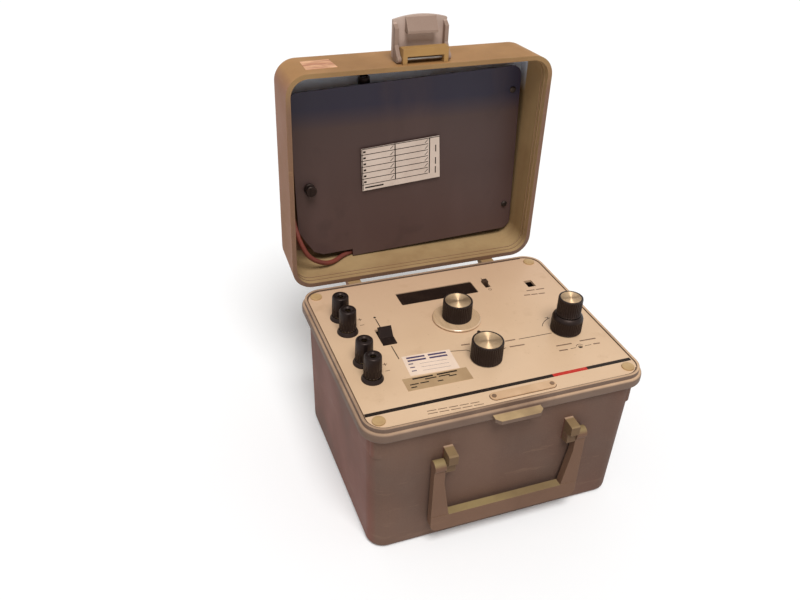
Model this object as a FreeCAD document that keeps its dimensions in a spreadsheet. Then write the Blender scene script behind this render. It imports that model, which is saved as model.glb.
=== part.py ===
import FreeCAD, Part
import math
import os
import re
import Sketcher

# A portable digital temperature and millivolt test set in a hinged, moulded carrying case.
# Frame: X to the right, Y to the back, Z up, millimetres. The origin is on the table, under the
# middle of the base. The lid stands open, as it does in use; pieces on the lid are drawn as if the
# lid were shut and are then turned about the hinge.

# Driving dimensions: name, value, meaning
SIZES = [
    ("case_width", 214, "rim, left to right"),
    ("case_depth", 177.5, "rim, front to back"),
    ("case_corner", 17, "rim corner radius in plan"),
    ("foot_in_side", 7.5, "base's bottom in from the rim, at the sides"),
    ("foot_in_front", 6.75, "base's bottom in from the rim, front and back"),
    ("base_corner", 13, "base corner radius in plan"),
    ("base_height", 108.5, "bottom to the underside of the rim"),
    ("wall_lean", 2, "how far each base wall leans out on its way up"),
    ("wall", 3, "base wall"),
    ("floor_thickness", 3.2, "base floor"),
    ("foot_round", 4, "rounding of the bottom edge"),
    ("rim_height", 7.9, "outer bead of the rim"),
    ("rim_round", 2.2, "rounding of the bead"),
    ("lip_rise", 3.3, "inner lip above the bead"),
    ("lip_inset", 2.2, "inner lip in from the bead's outside"),
    ("panel_inset", 4.3, "panel edge in from the bead's outside"),
    ("panel_corner", 12.7, "panel corner radius"),
    ("panel_thickness", 2, "panel plate"),
    ("panel_sink", 0.8, "panel face below the lip"),
    ("seat_gap", 0.3, "gap between closed or stopped faces"),
    ("fit_gap", 0.3, "clearance of pieces let into each other"),
    ("run_gap", 0.05, "radial clearance of turning fits"),
    ("press_gap", 0.02, "radial clearance of pieces held tight"),
    ("lid_height", 50.5, "lid, rim to roof"),
    ("lid_rim", 3.6, "lid wall at the rim"),
    ("lid_wall", 2.8, "lid wall and roof"),
    ("lid_lean", 1.4, "how far each lid wall leans in"),
    ("lid_round", 8, "rounding of the roof edge"),
    ("lid_bevel", 4, "bevel inside the roof edge"),
    ("hinge_back", 2.65, "hinge axis behind the rim"),
    ("hinge_drop", 9.6, "hinge axis below the lid's seat"),
    ("hinge_in", 46, "middle of each hinge in from the rim's side"),
    ("hinge_pin", 1.5, "hinge pin radius"),
    ("knuckle", 3.6, "knuckle radius"),
    ("knuckle_length", 11, "one knuckle"),
    ("knuckle_gap", 0.6, "between neighbouring knuckles"),
    ("web_drop", 14, "hinge web below the hinge axis"),
    ("web_foot", 4, "hinge web's lower end out from the wall"),
    ("stop_drop", 11, "lid stop below the hinge axis"),
    ("stop_slope", 3, "slope under a lid stop"),
    ("stop_top", 1, "lid stop's top below the hinge axis"),
    ("arm_front", 2.1, "hinge arm in front of the hinge axis"),
    ("arm_height", 12, "hinge arm up the lid wall"),
    ("arm_shoulder", 4, "shoulder of a hinge arm above the lid's rim"),
    ("heel_reach", 5.1, "stop heel from the hinge axis"),
    ("heel_height", 3.4, "stop heel, along the stop"),
    ("lid_open", 90, "angle of the lid as it stands"),
    ("ledge_width", 36, "catch ledge"),
    ("ledge_reach", 7.75, "catch ledge out from the rim"),
    ("ledge_thickness", 3, "catch ledge"),
    ("ledge_drop", 2.7, "catch ledge below the bead's top"),
    ("ledge_slant", 3.5, "slanted front corners of the catch ledge"),
    ("bracket_width", 36, "latch bracket on the lid"),
    ("bracket_post", 3.5, "bracket side post"),
    ("bracket_reach", 11.6, "bracket out from the lid"),
    ("bracket_bar", 5.8, "bracket front bar"),
    ("bracket_rise", 2.5, "bracket above the lid's rim"),
    ("bracket_height", 11.5, "bracket along the lid wall"),
    ("bracket_roof", 3, "bracket top web"),
    ("bracket_slope", 2.5, "slope over the bracket's front, inwards"),
    ("bracket_brow", 4, "slope over the bracket's front, downwards"),
    ("bracket_joint", 1, "how far the bracket's bar, web and posts run into each other"),
    ("latch_pin", 1.5, "latch pin radius"),
    ("latch_out", 2.95, "latch pin out from the lid wall"),
    ("latch_up", 7.5, "latch pin above the lid's rim"),
    ("latch_eye", 2.6, "round end of the latch cheeks"),
    ("latch_cheek", 3, "latch side cheek"),
    ("latch_plate", 2.6, "latch plate thickness"),
    ("latch_offset", 9.6, "latch plate out from its pin"),
    ("latch_length", 29, "latch pin to the free end"),
    ("latch_flange", 4.5, "latch side flange"),
    ("latch_top", 1, "latch plate above its pin"),
    ("flange_end", 5, "end of a latch flange short of the free end"),
    ("flange_drop", 9, "start of a latch flange below the pin"),
    ("hook_lip", 2, "hook's front edge"),
    ("latch_crown", 3, "crown of the latch's free end"),
    ("hook_bite", 2, "hook under the ledge"),
    ("hook_width", 24, "hook"),
    ("handle_span", 117.6, "outside of the handle's arms"),
    ("handle_arm", 8.2, "handle arm at its top, left to right"),
    ("handle_root", 13.5, "handle arm where it meets the bar"),
    ("handle_straight", 15, "straight part of an arm under the pivot"),
    ("handle_depth", 6, "handle arm, front to back"),
    ("handle_bar", 14, "handle bar, height"),
    ("handle_bar_depth", 6.6, "handle bar, front to back"),
    ("handle_drop", 61.5, "pivot to the bottom of the bar"),
    ("handle_corner", 6, "outer corner of the handle"),
    ("handle_pin", 2.4, "handle pin radius"),
    ("handle_eye", 4.6, "round top of a handle arm"),
    ("handle_height", 78, "pivot above the table"),
    ("handle_out", 4.5, "pivot out from the base wall"),
    ("lug_width", 7, "handle lug"),
    ("lug_foot", 7, "handle lug below its pivot, at the wall"),
    ("lug_head", 12.6, "handle lug above its pivot, at the wall"),
    ("lug_throat", 3.1, "lower part of a lug in front of the pivot"),
    ("lug_nose", 6.5, "upper part of a lug in front of the pivot"),
    ("lug_step", 3, "step in a lug above its pivot"),
    ("lug_slope", 1.2, "how far a lug's slopes rise"),
    ("lug_chin", 5, "lug's lowest front edge below the pivot"),
    ("screw_in_side", 12.35, "panel screws in from the rim, at the sides"),
    ("screw_in_front", 12.15, "panel screws in from the rim, front and back"),
    ("screw_head", 4.6, "panel screw head radius"),
    ("screw_head_rise", 1.3, "panel screw head above the panel"),
    ("screw_shank", 1.75, "panel screw radius"),
    ("screw_length", 15, "panel screw under its head"),
    ("screw_boss", 5.6, "corner boss radius"),
    ("screw_boss_height", 26, "corner boss"),
    ("window_width", 66, "display opening"),
    ("window_depth", 17, "display opening"),
    ("window_in", 34.45, "middle of the display in from the rim's back"),
    ("window_corner", 1.2, "display opening"),
    ("window_flange", 3.5, "window edge behind the panel"),
    ("window_thickness", 1.8, "window edge behind the panel"),
    ("window_sink", 0.6, "window pane below the panel face"),
    ("digit_count", 5, "display modules"),
    ("digit_pitch", 12.6, "display modules"),
    ("digit_depth", 15, "display modules"),
    ("digit_height", 5, "display modules"),
    ("post_in", 22.5, "binding posts in from the rim's left side"),
    ("post_pitch", 19.05, "posts of one pair"),
    ("post_front_pair", -24.1, "middle of the front pair"),
    ("post_rear_pair", 34, "middle of the rear pair"),
    ("post_flange", 8, "post flange radius"),
    ("post_flange_rise", 3, "post flange"),
    ("post_cap", 6.5, "post cap radius"),
    ("post_top", 20.6, "post cap above the panel"),
    ("post_stud", 3.2, "post stud radius"),
    ("post_socket", 2, "plug socket radius"),
    ("post_socket_depth", 13, "plug socket"),
    ("post_tail", 14, "stud under the panel"),
    ("post_washer", 0.8, "metal washer under a post cap"),
    ("post_roof", 2.2, "top of a post cap"),
    ("post_nut", 5.8, "post nut, centre to corner"),
    ("post_nut_height", 3, "post nut"),
    ("post_grip", 5, "ridged foot of a post cap"),
    ("post_taper", 0.6, "how far a post cap narrows to its top"),
    ("post_round", 1.3, "rounding of a post cap's top"),
    ("post_mouth", 1, "bevel round a post's plug hole"),
    ("bushing", 4.7, "control bushing radius"),
    ("bushing_rise", 5.6, "control bushing above the panel"),
    ("nut_size", 6.6, "control nut, centre to corner"),
    ("nut_height", 2, "control nut"),
    ("shaft", 3.17, "control shaft radius"),
    ("inner_shaft", 1.6, "inner shaft of the twin control"),
    ("control_end", 3, "closed end of a control"),
    ("shaft_cover", 4, "knob top above its shaft"),
    ("knob_edge", 0.7, "bevel round a knob's top"),
    ("knob_gap", 0.6, "knob above the panel"),
    ("knob_hollow", 7.6, "hollow under a knob"),
    ("selector_x", 0.5, "selector"),
    ("selector_y", 16, "selector"),
    ("selector_radius", 11.4, "selector knob"),
    ("selector_top", 17.3, "selector knob above the panel"),
    ("skirt_radius", 18.75, "selector's clear skirt"),
    ("skirt_thickness", 1.6, "selector's clear skirt"),
    ("mode_x", 1.2, "mode switch"),
    ("mode_y", -36.3, "mode switch"),
    ("mode_radius", 11.7, "mode knob"),
    ("mode_top", 16.3, "mode knob above the panel"),
    ("output_in", 32, "output control in from the rim's right side"),
    ("output_y", -21.5, "output control"),
    ("coarse_radius", 11.8, "lower output knob"),
    ("coarse_top", 14.6, "lower output knob above the panel"),
    ("fine_radius", 9.25, "upper output knob"),
    ("fine_top", 29.3, "upper output knob above the panel"),
    ("coarse_bevel", 3, "bevel round the lower output knob"),
    ("coarse_land", 2, "how far that bevel comes in"),
    ("inlay_sink", 0.8, "seat for the metal inlay in a knob"),
    ("inlay_thickness", 0.6, "metal inlay"),
    ("pointer_width", 3, "pointer nub"),
    ("pointer_reach", 1.6, "pointer nub out of the knob"),
    ("pointer_angle", 140, "pointer nub, from the right round to the back"),
    ("inlay_margin", 1.5, "black ring round an inlay"),
    ("selector_body", 16, "rotary switch radius"),
    ("mode_body", 14, "mode switch radius"),
    ("output_body", 12, "twin control radius"),
    ("control_depth", 24, "controls under the panel"),
    ("slot_corner", 0.5, "corners of the small openings"),
    ("rocker_in", 47.7, "rocker switch in from the rim's left side"),
    ("rocker_y", 10.4, "rocker switch"),
    ("rocker_width", 10.4, "rocker, left to right"),
    ("rocker_half", 8.3, "one half of the rocker"),
    ("rocker_angle", 48, "angle that the rocker tips through"),
    ("rocker_lift", 4.7, "rocker's fold above its axis"),
    ("rocker_rise", 0.8, "pressed half above the panel face"),
    ("rocker_plate", 2.2, "rocker, top to underside"),
    ("rocker_hub", 3, "rocker hub radius"),
    ("rocker_pin", 1.2, "rocker pin radius"),
    ("rocker_room", 10.55, "rocker opening, middle to end"),
    ("housing_wall", 1.8, "rocker and jack housing wall"),
    ("rocker_deep", 11, "rocker housing under the panel"),
    ("power_beside", 10.7, "power switch from the display's edge"),
    ("power_back", 0.7, "power switch behind the display's middle"),
    ("power_slot_width", 4.6, "power switch slot"),
    ("power_slot_length", 9.8, "power switch slot"),
    ("power_travel", 4.6, "power switch travel"),
    ("power_rise", 2.4, "power slider above the panel"),
    ("power_deep", 8, "power switch under the panel"),
    ("power_plate", 2, "plate that keeps the slider in"),
    ("jack_in_side", 27.8, "charger jack in from the rim's right side"),
    ("jack_in_back", 43.45, "charger jack in from the rim's back"),
    ("jack_width", 6.8, "charger jack opening"),
    ("jack_length", 9.6, "charger jack opening"),
    ("jack_deep", 11, "charger jack under the panel"),
    ("jack_contact", 0.9, "charger jack pin radius"),
    ("trimmer_in", 32.6, "trimmer in from the rim's right side"),
    ("trimmer_y", -44.7, "trimmer"),
    ("trimmer_hole", 1.7, "trimmer hole radius"),
    ("trimmer_deep", 8, "trimmer under the panel"),
    ("trimmer_slot", 0.8, "trimmer's screwdriver slot"),
    ("plate_x", 10.2, "small riveted plate"),
    ("plate_in", 11.55, "small riveted plate in from the rim's front"),
    ("plate_width", 50, "small riveted plate"),
    ("plate_depth", 7.4, "small riveted plate"),
    ("plate_thickness", 0.8, "small riveted plate"),
    ("rivet", 1.1, "rivet radius"),
    ("rivet_spread", 44.5, "rivets"),
    ("cover_in_side", 9.5, "storage cover in from the lid's sides"),
    ("cover_short", 27.5, "storage cover shorter than the lid"),
    ("cover_thickness", 2, "storage cover"),
    ("cover_corner", 8, "storage cover corners"),
    ("cover_depth", 31.3, "cover's face from the lid's rim"),
    ("cover_skew", 2.2, "the cover sits a little askew"),
    ("cover_x", 2.1, "cover middle"),
    ("cover_low", 6.8, "cover middle from the lid's own middle towards the hinge"),
    ("notch_width", 46, "lead notch in the cover"),
    ("notch_rise", 6.5, "lead notch in the cover"),
    ("notch_side", 34, "lead notch up the cover's side"),
    ("notch_in", 12, "lead notch in from the cover's side"),
    ("cover_screw_in", 6.8, "cover screws in from the right edge"),
    ("cover_screw_top", 20, "upper cover screw from the top edge"),
    ("cover_screw_low", 24.7, "lower cover screw from the bottom edge"),
    ("cover_screw", 1.4, "cover screw radius"),
    ("cover_screw_head", 2.7, "cover screw head radius"),
    ("cover_screw_length", 9, "cover screw into its boss"),
    ("cover_screw_rise", 1.6, "cover screw head"),
    ("cover_boss", 4.3, "boss behind the cover"),
    ("turn_in", 11.5, "turn fastener in from the left edge"),
    ("turn_up", 70, "turn fastener up from the bottom edge"),
    ("turn_head", 4.6, "turn fastener head radius"),
    ("turn_reach", 8, "turn fastener out of the cover"),
    ("turn_stem", 1.8, "turn fastener stem radius"),
    ("turn_depth", 7, "turn fastener into its boss"),
    ("board_in_side", 11.5, "circuit board in from the base, at the sides"),
    ("board_in_front", 12, "circuit board in from the base, front and back"),
    ("board_thickness", 1.6, "circuit board"),
    ("board_height", 60, "circuit board above the table"),
    ("board_post", 4.5, "circuit board post radius"),
    ("board_post_in", 8, "circuit board posts in from the board's edges"),
    ("board_screw", 1.4, "circuit board screw radius"),
    ("board_screw_length", 7, "circuit board screw into its post"),
    ("transformer_width", 32, "transformer"),
    ("transformer_depth", 38, "transformer"),
    ("transformer_height", 22, "transformer"),
    ("transformer_left", 52, "transformer left of the middle"),
    ("parts_back", 38, "transformer behind the middle"),
    ("capacitor", 6, "capacitor radius"),
    ("capacitor_height", 20, "capacitor"),
    ("capacitor_pitch", 18, "capacitors"),
    ("capacitor_back", 48, "capacitors behind the middle"),
    ("chip_width", 20, "chip"),
    ("chip_depth", 8, "chip"),
    ("chip_height", 4, "chip"),
    ("chip_pitch", 32, "chips along a row"),
    ("chip_row", 26, "from one row of chips to the next"),
    ("chip_front", 44, "front row of chips in front of the middle"),
    ("cell_radius", 13, "battery cell"),
    ("cell_length", 50, "battery cell"),
    ("cell_gap", 0.6, "between battery cells"),
    ("strap", 1.2, "battery strap"),
    ("strap_width", 16, "battery strap"),
    ("strap_foot", 12, "battery strap foot"),
    ("lead_diameter", 4, "test lead"),
    ("lead_gap", 0.5, "between turns of the coiled lead"),
    ("coil_radius", 22, "coiled lead at its middle turns"),
    ("plug_shroud", 3.4, "test plug, inside of its shroud"),
    ("plug_pin", 2, "test plug pin radius"),
    ("plug_pin_length", 13, "test plug pin"),
    ("plug_length", 42, "test plug"),
    ("plug_radius", 4.6, "test plug"),
]

# Levels and places that follow from the sizes
RIM_TOP = "(base_height + rim_height)"
LIP_TOP = f"({RIM_TOP} + lip_rise)"
PANEL_TOP = f"({LIP_TOP} - panel_sink)"
PANEL_SEAT = f"({PANEL_TOP} - panel_thickness)"
LID_SEAT = f"({LIP_TOP} + seat_gap)"
LID_ROOF = f"({LID_SEAT} + lid_height - lid_wall)"
HINGE_Y = "(case_depth / 2 + hinge_back)"
HINGE_Z = f"({LID_SEAT} - hinge_drop)"
STOP_Y = f"({HINGE_Y} - heel_reach - seat_gap)"
LEDGE_TOP = f"({RIM_TOP} - ledge_drop)"
LEDGE_Y = "(case_depth / 2 + ledge_reach)"
LATCH_Y = "(-case_depth / 2 - latch_out)"
LATCH_Z = f"({LID_SEAT} + latch_up)"
HANDLE_Y = "(-base_depth / 2 - wall_lean - handle_out)"
LUG_X = "(handle_span / 2 - handle_arm - fit_gap - lug_width / 2)"
COVER_FACE = f"({LID_SEAT} + cover_depth)"
COVER_BACK = f"({COVER_FACE} + cover_thickness)"
STRAP_TOP = "(floor_thickness + 2 * cell_radius + seat_gap)"
STRAP_HALF = "(4 * cell_radius + 1.5 * cell_gap + seat_gap)"
STRAP_FOOT_X = f"({STRAP_HALF} + strap + strap_foot / 2)"
STRAP_FOOT_Z = "(floor_thickness + cell_radius)"

# Sizes that follow from others: name, formula, meaning
FOLLOWING = [
    ("base_width", "=case_width - 2 * foot_in_side", "base at its bottom, left to right"),
    ("base_depth", "=case_depth - 2 * foot_in_front", "base at its bottom, front to back"),
    ("hinge_spread", "=case_width / 2 - hinge_in", "middle of each hinge from the centre"),
    ("screw_across", "=case_width - 2 * screw_in_side", "panel screws, left to right"),
    ("screw_along", "=case_depth - 2 * screw_in_front", "panel screws, front to back"),
    ("window_y", "=case_depth / 2 - window_in", "middle of the display"),
    ("post_x", "=case_width / 2 - post_in", "binding posts left of the centre"),
    ("output_x", "=case_width / 2 - output_in", "output control"),
    ("trimmer_x", "=case_width / 2 - trimmer_in", "trimmer"),
    ("rocker_x", "=rocker_in - case_width / 2", "rocker switch"),
    ("power_x", "=window_width / 2 + power_beside", "power switch"),
    ("power_y", "=window_y + power_back", "power switch"),
    ("jack_x", "=case_width / 2 - jack_in_side", "charger jack"),
    ("jack_y", "=case_depth / 2 - jack_in_back", "charger jack"),
    ("plate_y", "=plate_in - case_depth / 2", "small riveted plate"),
    ("cover_width", "=case_width - 2 * cover_in_side", "storage cover"),
    ("cover_length", "=case_depth - cover_short", "storage cover"),
    ("cover_z", f"={HINGE_Y} + {HINGE_Z} - cover_low", "cover middle above the table"),
    ("board_width", "=base_width - 2 * board_in_side", "circuit board"),
    ("board_depth", "=base_depth - 2 * board_in_front", "circuit board"),
    ("board_post_x", "=board_width / 2 - board_post_in", "circuit board post"),
    ("board_post_y", "=board_depth / 2 - board_post_in", "circuit board post"),
]

doc = FreeCAD.newDocument("test_set")
sheet = doc.addObject("Spreadsheet::Sheet", "Sizes")
for row, (alias, value, meaning) in enumerate(SIZES + FOLLOWING, start=1):
    sheet.set(f"A{row}", meaning)
    sheet.set(f"B{row}", str(value))
    sheet.setAlias(f"B{row}", alias)
doc.recompute()
ALIASES = {alias for alias, _, _ in SIZES + FOLLOWING}

SUBPARTS = {}
NEAR = 0.1


def named(text):
    """The same expression with each size's name pointing into the sheet."""
    return re.sub(r"[a-z_]+", lambda word: f"Sizes.{word[0]}" if word[0] in ALIASES else word[0], str(text))


def number(text):
    """What an expression comes to, in millimetres or degrees."""
    return float(sheet.evalExpression(named(text)))


def bind(thing, **values):
    """Tie properties of an object to expressions in the sheet's sizes."""
    for name, text in values.items():
        thing.setExpression(name.replace("__", "."), named(text))


def subpart(thing, label):
    """Note a finished piece: its label names its file."""
    thing.Label = label
    SUBPARTS[label] = thing
    return thing


# Sketches
def sketch_on(body, name, plane, shift="0"):
    sketch = body.newObject("Sketcher::SketchObject", name)
    base = next(f for f in body.Origin.OriginFeatures if f.Role == plane)
    sketch.AttachmentSupport = [(base, "")]
    sketch.MapMode = "FlatFace"
    sketch.setExpression("AttachmentOffset.Base.z", named(shift))
    return sketch


def measure(sketch, kind, *spots, value):
    """A dimension of the sketch, tied to the sheet."""
    index = sketch.addConstraint(Sketcher.Constraint(kind, *spots, number(value)))
    sketch.setExpression(f"Constraints[{index}]", named(value))


def add_polygon(sketch, points):
    first = sketch.GeometryCount
    spots = [FreeCAD.Vector(number(x), number(y), 0) for x, y in points]
    count = len(points)
    for n in range(count):
        sketch.addGeometry(Part.LineSegment(spots[n], spots[(n + 1) % count]))
    for n, (x, y) in enumerate(points):
        sketch.addConstraint(Sketcher.Constraint("Coincident", first + n, 2, first + (n + 1) % count, 1))
        measure(sketch, "DistanceX", -1, 1, first + n, 1, value=x)
        measure(sketch, "DistanceY", -1, 1, first + n, 1, value=y)


def add_circle(sketch, x, y, radius):
    index = sketch.GeometryCount
    centre = FreeCAD.Vector(number(x), number(y), 0)
    sketch.addGeometry(Part.Circle(centre, FreeCAD.Vector(0, 0, 1), number(radius)))
    measure(sketch, "Radius", index, value=radius)
    measure(sketch, "DistanceX", -1, 1, index, 3, value=x)
    measure(sketch, "DistanceY", -1, 1, index, 3, value=y)


def add_rounded(sketch, width, depth, corner, x="0", y="0"):
    """A rectangle with round corners about the point x, y."""
    wide, deep, radius = number(width) / 2, number(depth) / 2, number(corner)
    mid = FreeCAD.Vector(number(x), number(y), 0)
    first = sketch.GeometryCount
    up = FreeCAD.Vector(0, 0, 1)
    signs = [(1, -1), (1, 1), (-1, 1), (-1, -1)]
    ends = []
    for n, (sx, sy) in enumerate(signs):
        centre = mid + FreeCAD.Vector(sx * (wide - radius), sy * (deep - radius), 0)
        start = math.radians(90 * (n - 1))
        arc = Part.ArcOfCircle(Part.Circle(centre, up, radius), start, start + math.pi / 2)
        sketch.addGeometry(arc)
        ends.append((arc.StartPoint, arc.EndPoint))
    for n in range(4):
        sketch.addGeometry(Part.LineSegment(ends[n][1], ends[(n + 1) % 4][0]))
    for n in range(4):
        line = first + 4 + n
        sketch.addConstraint(Sketcher.Constraint("Tangent", first + n, 2, line, 1))
        sketch.addConstraint(Sketcher.Constraint("Tangent", line, 2, first + (n + 1) % 4, 1))
        sketch.addConstraint(Sketcher.Constraint("Horizontal" if n % 2 else "Vertical", line))
        if n:
            sketch.addConstraint(Sketcher.Constraint("Equal", first, first + n))
    right, top, left, bottom = range(first + 4, first + 8)
    measure(sketch, "Radius", first, value=corner)
    measure(sketch, "DistanceX", left, 1, right, 1, value=width)
    measure(sketch, "DistanceY", bottom, 1, top, 1, value=depth)
    measure(sketch, "DistanceX", -1, 1, right, 1, value=f"({x}) + ({width}) / 2")
    measure(sketch, "DistanceY", -1, 1, top, 1, value=f"({y}) + ({depth}) / 2")


# Features of a body
def new_body(name):
    return doc.addObject("PartDesign::Body", name)


def pad(body, sketch, length):
    feature = body.newObject("PartDesign::Pad", sketch.Name + "_pad")
    feature.Profile = sketch
    bind(feature, Length=length)
    return feature


def pocket(body, sketch, length):
    """Cut away, against the sketch's normal."""
    feature = body.newObject("PartDesign::Pocket", sketch.Name + "_pocket")
    feature.Profile = sketch
    bind(feature, Length=length)
    return feature


def loft(body, lower, *others, cuts=False):
    kind = "PartDesign::SubtractiveLoft" if cuts else "PartDesign::AdditiveLoft"
    feature = body.newObject(kind, lower.Name + "_loft")
    feature.Profile = lower
    feature.Sections = list(others)
    feature.Ruled = True
    return feature


def round_edges(body, name, radius, wanted):
    """Round every edge of the body's last feature that passes the test."""
    doc.recompute()
    base = body.Tip
    edges = [f"Edge{n + 1}" for n, edge in enumerate(base.Shape.Edges) if wanted(edge)]
    feature = body.newObject("PartDesign::Fillet", name)
    feature.Base = (base, edges)
    bind(feature, Radius=radius)
    return feature


def level_at(height, slack=0.01):
    """A test for edges that lie in the level plane at a height."""
    level = number(height)
    return lambda edge: edge.BoundBox.ZMin > level - slack and edge.BoundBox.ZMax < level + slack


def rounded_at(body, name, height, width, depth, corner, x="0", y="0"):
    sketch = sketch_on(body, name, "XY_Plane", height)
    add_rounded(sketch, width, depth, corner, x, y)
    return sketch


def rounding(radius):
    """Steps round a quarter circle: how far in from the side, how far short of the end."""
    steps = 4
    angles = [90 * n / steps for n in range(steps + 1)]
    return [(f"{radius} * (1 - cos({angle}))", f"{radius} * (1 - sin({angle}))") for angle in angles]


def circles_at(body, name, height, spots, radius):
    sketch = sketch_on(body, name, "XY_Plane", height)
    for x, y in spots:
        add_circle(sketch, x, y, radius)
    return sketch


def side_pad(body, name, points, start, length):
    """A profile in Y and Z, padded along X from start."""
    sketch = sketch_on(body, name, "YZ_Plane", start)
    add_polygon(sketch, points)
    return pad(body, sketch, length)


def front_pad(body, name, points, back, depth):
    """A profile in X and Z, padded towards the front from the plane at back."""
    sketch = sketch_on(body, name, "XZ_Plane", f"-({back})")
    add_polygon(sketch, points)
    return pad(body, sketch, depth)


def side_rod(body, name, y, z, radius, start, length):
    sketch = sketch_on(body, name, "YZ_Plane", start)
    add_circle(sketch, y, z, radius)
    return pad(body, sketch, length)


def side_bore(body, name, y, z, radius, start, length):
    """A round hole along X, from start onwards."""
    sketch = sketch_on(body, name, "YZ_Plane", f"({start}) + ({length})")
    add_circle(sketch, y, z, radius)
    return pocket(body, sketch, length)


def side_cut(body, name, points, start, length):
    sketch = sketch_on(body, name, "YZ_Plane", f"({start}) + ({length})")
    add_polygon(sketch, points)
    return pocket(body, sketch, length)


def turned(body, name, outline):
    """A turned piece: an outline of radius and height, spun about Z."""
    sketch = sketch_on(body, name, "XZ_Plane")
    add_polygon(sketch, outline)
    feature = body.newObject("PartDesign::Revolution", name + "_turned")
    feature.Profile = sketch
    feature.ReferenceAxis = (sketch, ["V_Axis"])
    feature.Angle = 360
    return feature


def stand_at(thing, x, y, z="0"):
    bind(thing, Placement__Base__x=x, Placement__Base__y=y, Placement__Base__z=z)


# Plain solids
def cylinder(name, radius, height, x="0", y="0", z="0"):
    thing = doc.addObject("Part::Cylinder", name)
    bind(thing, Radius=radius, Height=height)
    stand_at(thing, x, y, z)
    return thing


def rod(name, radius, length, x, y, z):
    """A round rod along X."""
    thing = doc.addObject("Part::Cylinder", name)
    thing.Placement = FreeCAD.Placement(FreeCAD.Vector(), FreeCAD.Rotation(FreeCAD.Vector(0, 1, 0), 90))
    bind(thing, Radius=radius, Height=length)
    stand_at(thing, x, y, z)
    return thing


def block(name, width, depth, height, x, y, z):
    """A box about the middle x, y, standing on z."""
    thing = doc.addObject("Part::Box", name)
    bind(thing, Length=width, Width=depth, Height=height)
    stand_at(thing, f"({x}) - ({width}) / 2", f"({y}) - ({depth}) / 2", z)
    return thing


def hexagon(name, corner, height, x, y, z):
    thing = doc.addObject("Part::Prism", name)
    thing.Polygon = 6
    bind(thing, Circumradius=corner, Height=height)
    stand_at(thing, x, y, z)
    return thing


def fused(name, things):
    thing = doc.addObject("Part::MultiFuse", name)
    thing.Shapes = things
    thing.Refine = True
    return thing


def cut_from(name, base, tool):
    thing = doc.addObject("Part::Cut", name)
    thing.Base = base
    thing.Tool = tool
    return thing


def grouped(name, things):
    """Like pieces that share one node."""
    thing = doc.addObject("Part::Compound", name)
    thing.Links = things
    return thing


def corners(across, along):
    return [(f"{sx} * ({across})", f"{sy} * ({along})") for sx in (-1, 1) for sy in (-1, 1)]


PANEL_SCREWS = corners("screw_across / 2", "screw_along / 2")
BOARD_POSTS = corners("board_post_x", "board_post_y")
POSTS = [
    ("-post_x", f"{pair} + {side} * post_pitch / 2")
    for pair in ("post_rear_pair", "post_front_pair")
    for side in (1, -1)
]
HINGES = [f"{side} * hinge_spread" for side in (-1, 1)]
LUGS = [f"{side} * {LUG_X}" for side in (-1, 1)]
STRAP_FEET = [(f"{side} * {STRAP_FOOT_X}", "0") for side in (-1, 1)]


def turned_about(y, z, degrees):
    """A turn about a line along X through y, z."""
    pivot = FreeCAD.Vector(0, number(y), number(z))
    turn = FreeCAD.Rotation(FreeCAD.Vector(1, 0, 0), degrees)
    return FreeCAD.Placement(pivot - turn.multVec(pivot), turn)


LID_TURN = turned_about(HINGE_Y, HINGE_Z, -number("lid_open"))
LATCH_TURN = LID_TURN.multiply(turned_about(LATCH_Y, LATCH_Z, -90))


# The base
def base_outside(body):
    upper = rounded_at(body, "base_top", "base_height", "base_width + 2 * wall_lean",
                       "base_depth + 2 * wall_lean", "base_corner")
    feet = [
        rounded_at(body, f"base_foot_{n}", rise, f"base_width - 2 * {inset}", f"base_depth - 2 * {inset}",
                   f"base_corner - {inset}")
        for n, (inset, rise) in enumerate(rounding("foot_round"))
    ]
    loft(body, upper, *feet)
    rim = rounded_at(body, "rim", "base_height", "case_width", "case_depth", "case_corner")
    pad(body, rim, "rim_height")
    doc.recompute()
    outer = number("case_width") / 2 - number("case_corner") - 1

    def on_bead(edge):
        box = edge.BoundBox
        far = max(abs(box.XMin), abs(box.XMax)) > outer
        level = level_at("base_height")(edge) or level_at(RIM_TOP)(edge)
        reach = max(box.XMax, -box.XMin) > number("base_width") / 2 + number("wall_lean") + 0.5
        deep = max(box.YMax, -box.YMin) > number("base_depth") / 2 + number("wall_lean") + 0.5
        return level and far and (reach or deep)

    round_edges(body, "bead_round", "rim_round", on_bead)
    lip = rounded_at(body, "lip", RIM_TOP, "case_width - 2 * lip_inset",
                     "case_depth - 2 * lip_inset", "case_corner - lip_inset")
    pad(body, lip, "lip_rise")


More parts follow.
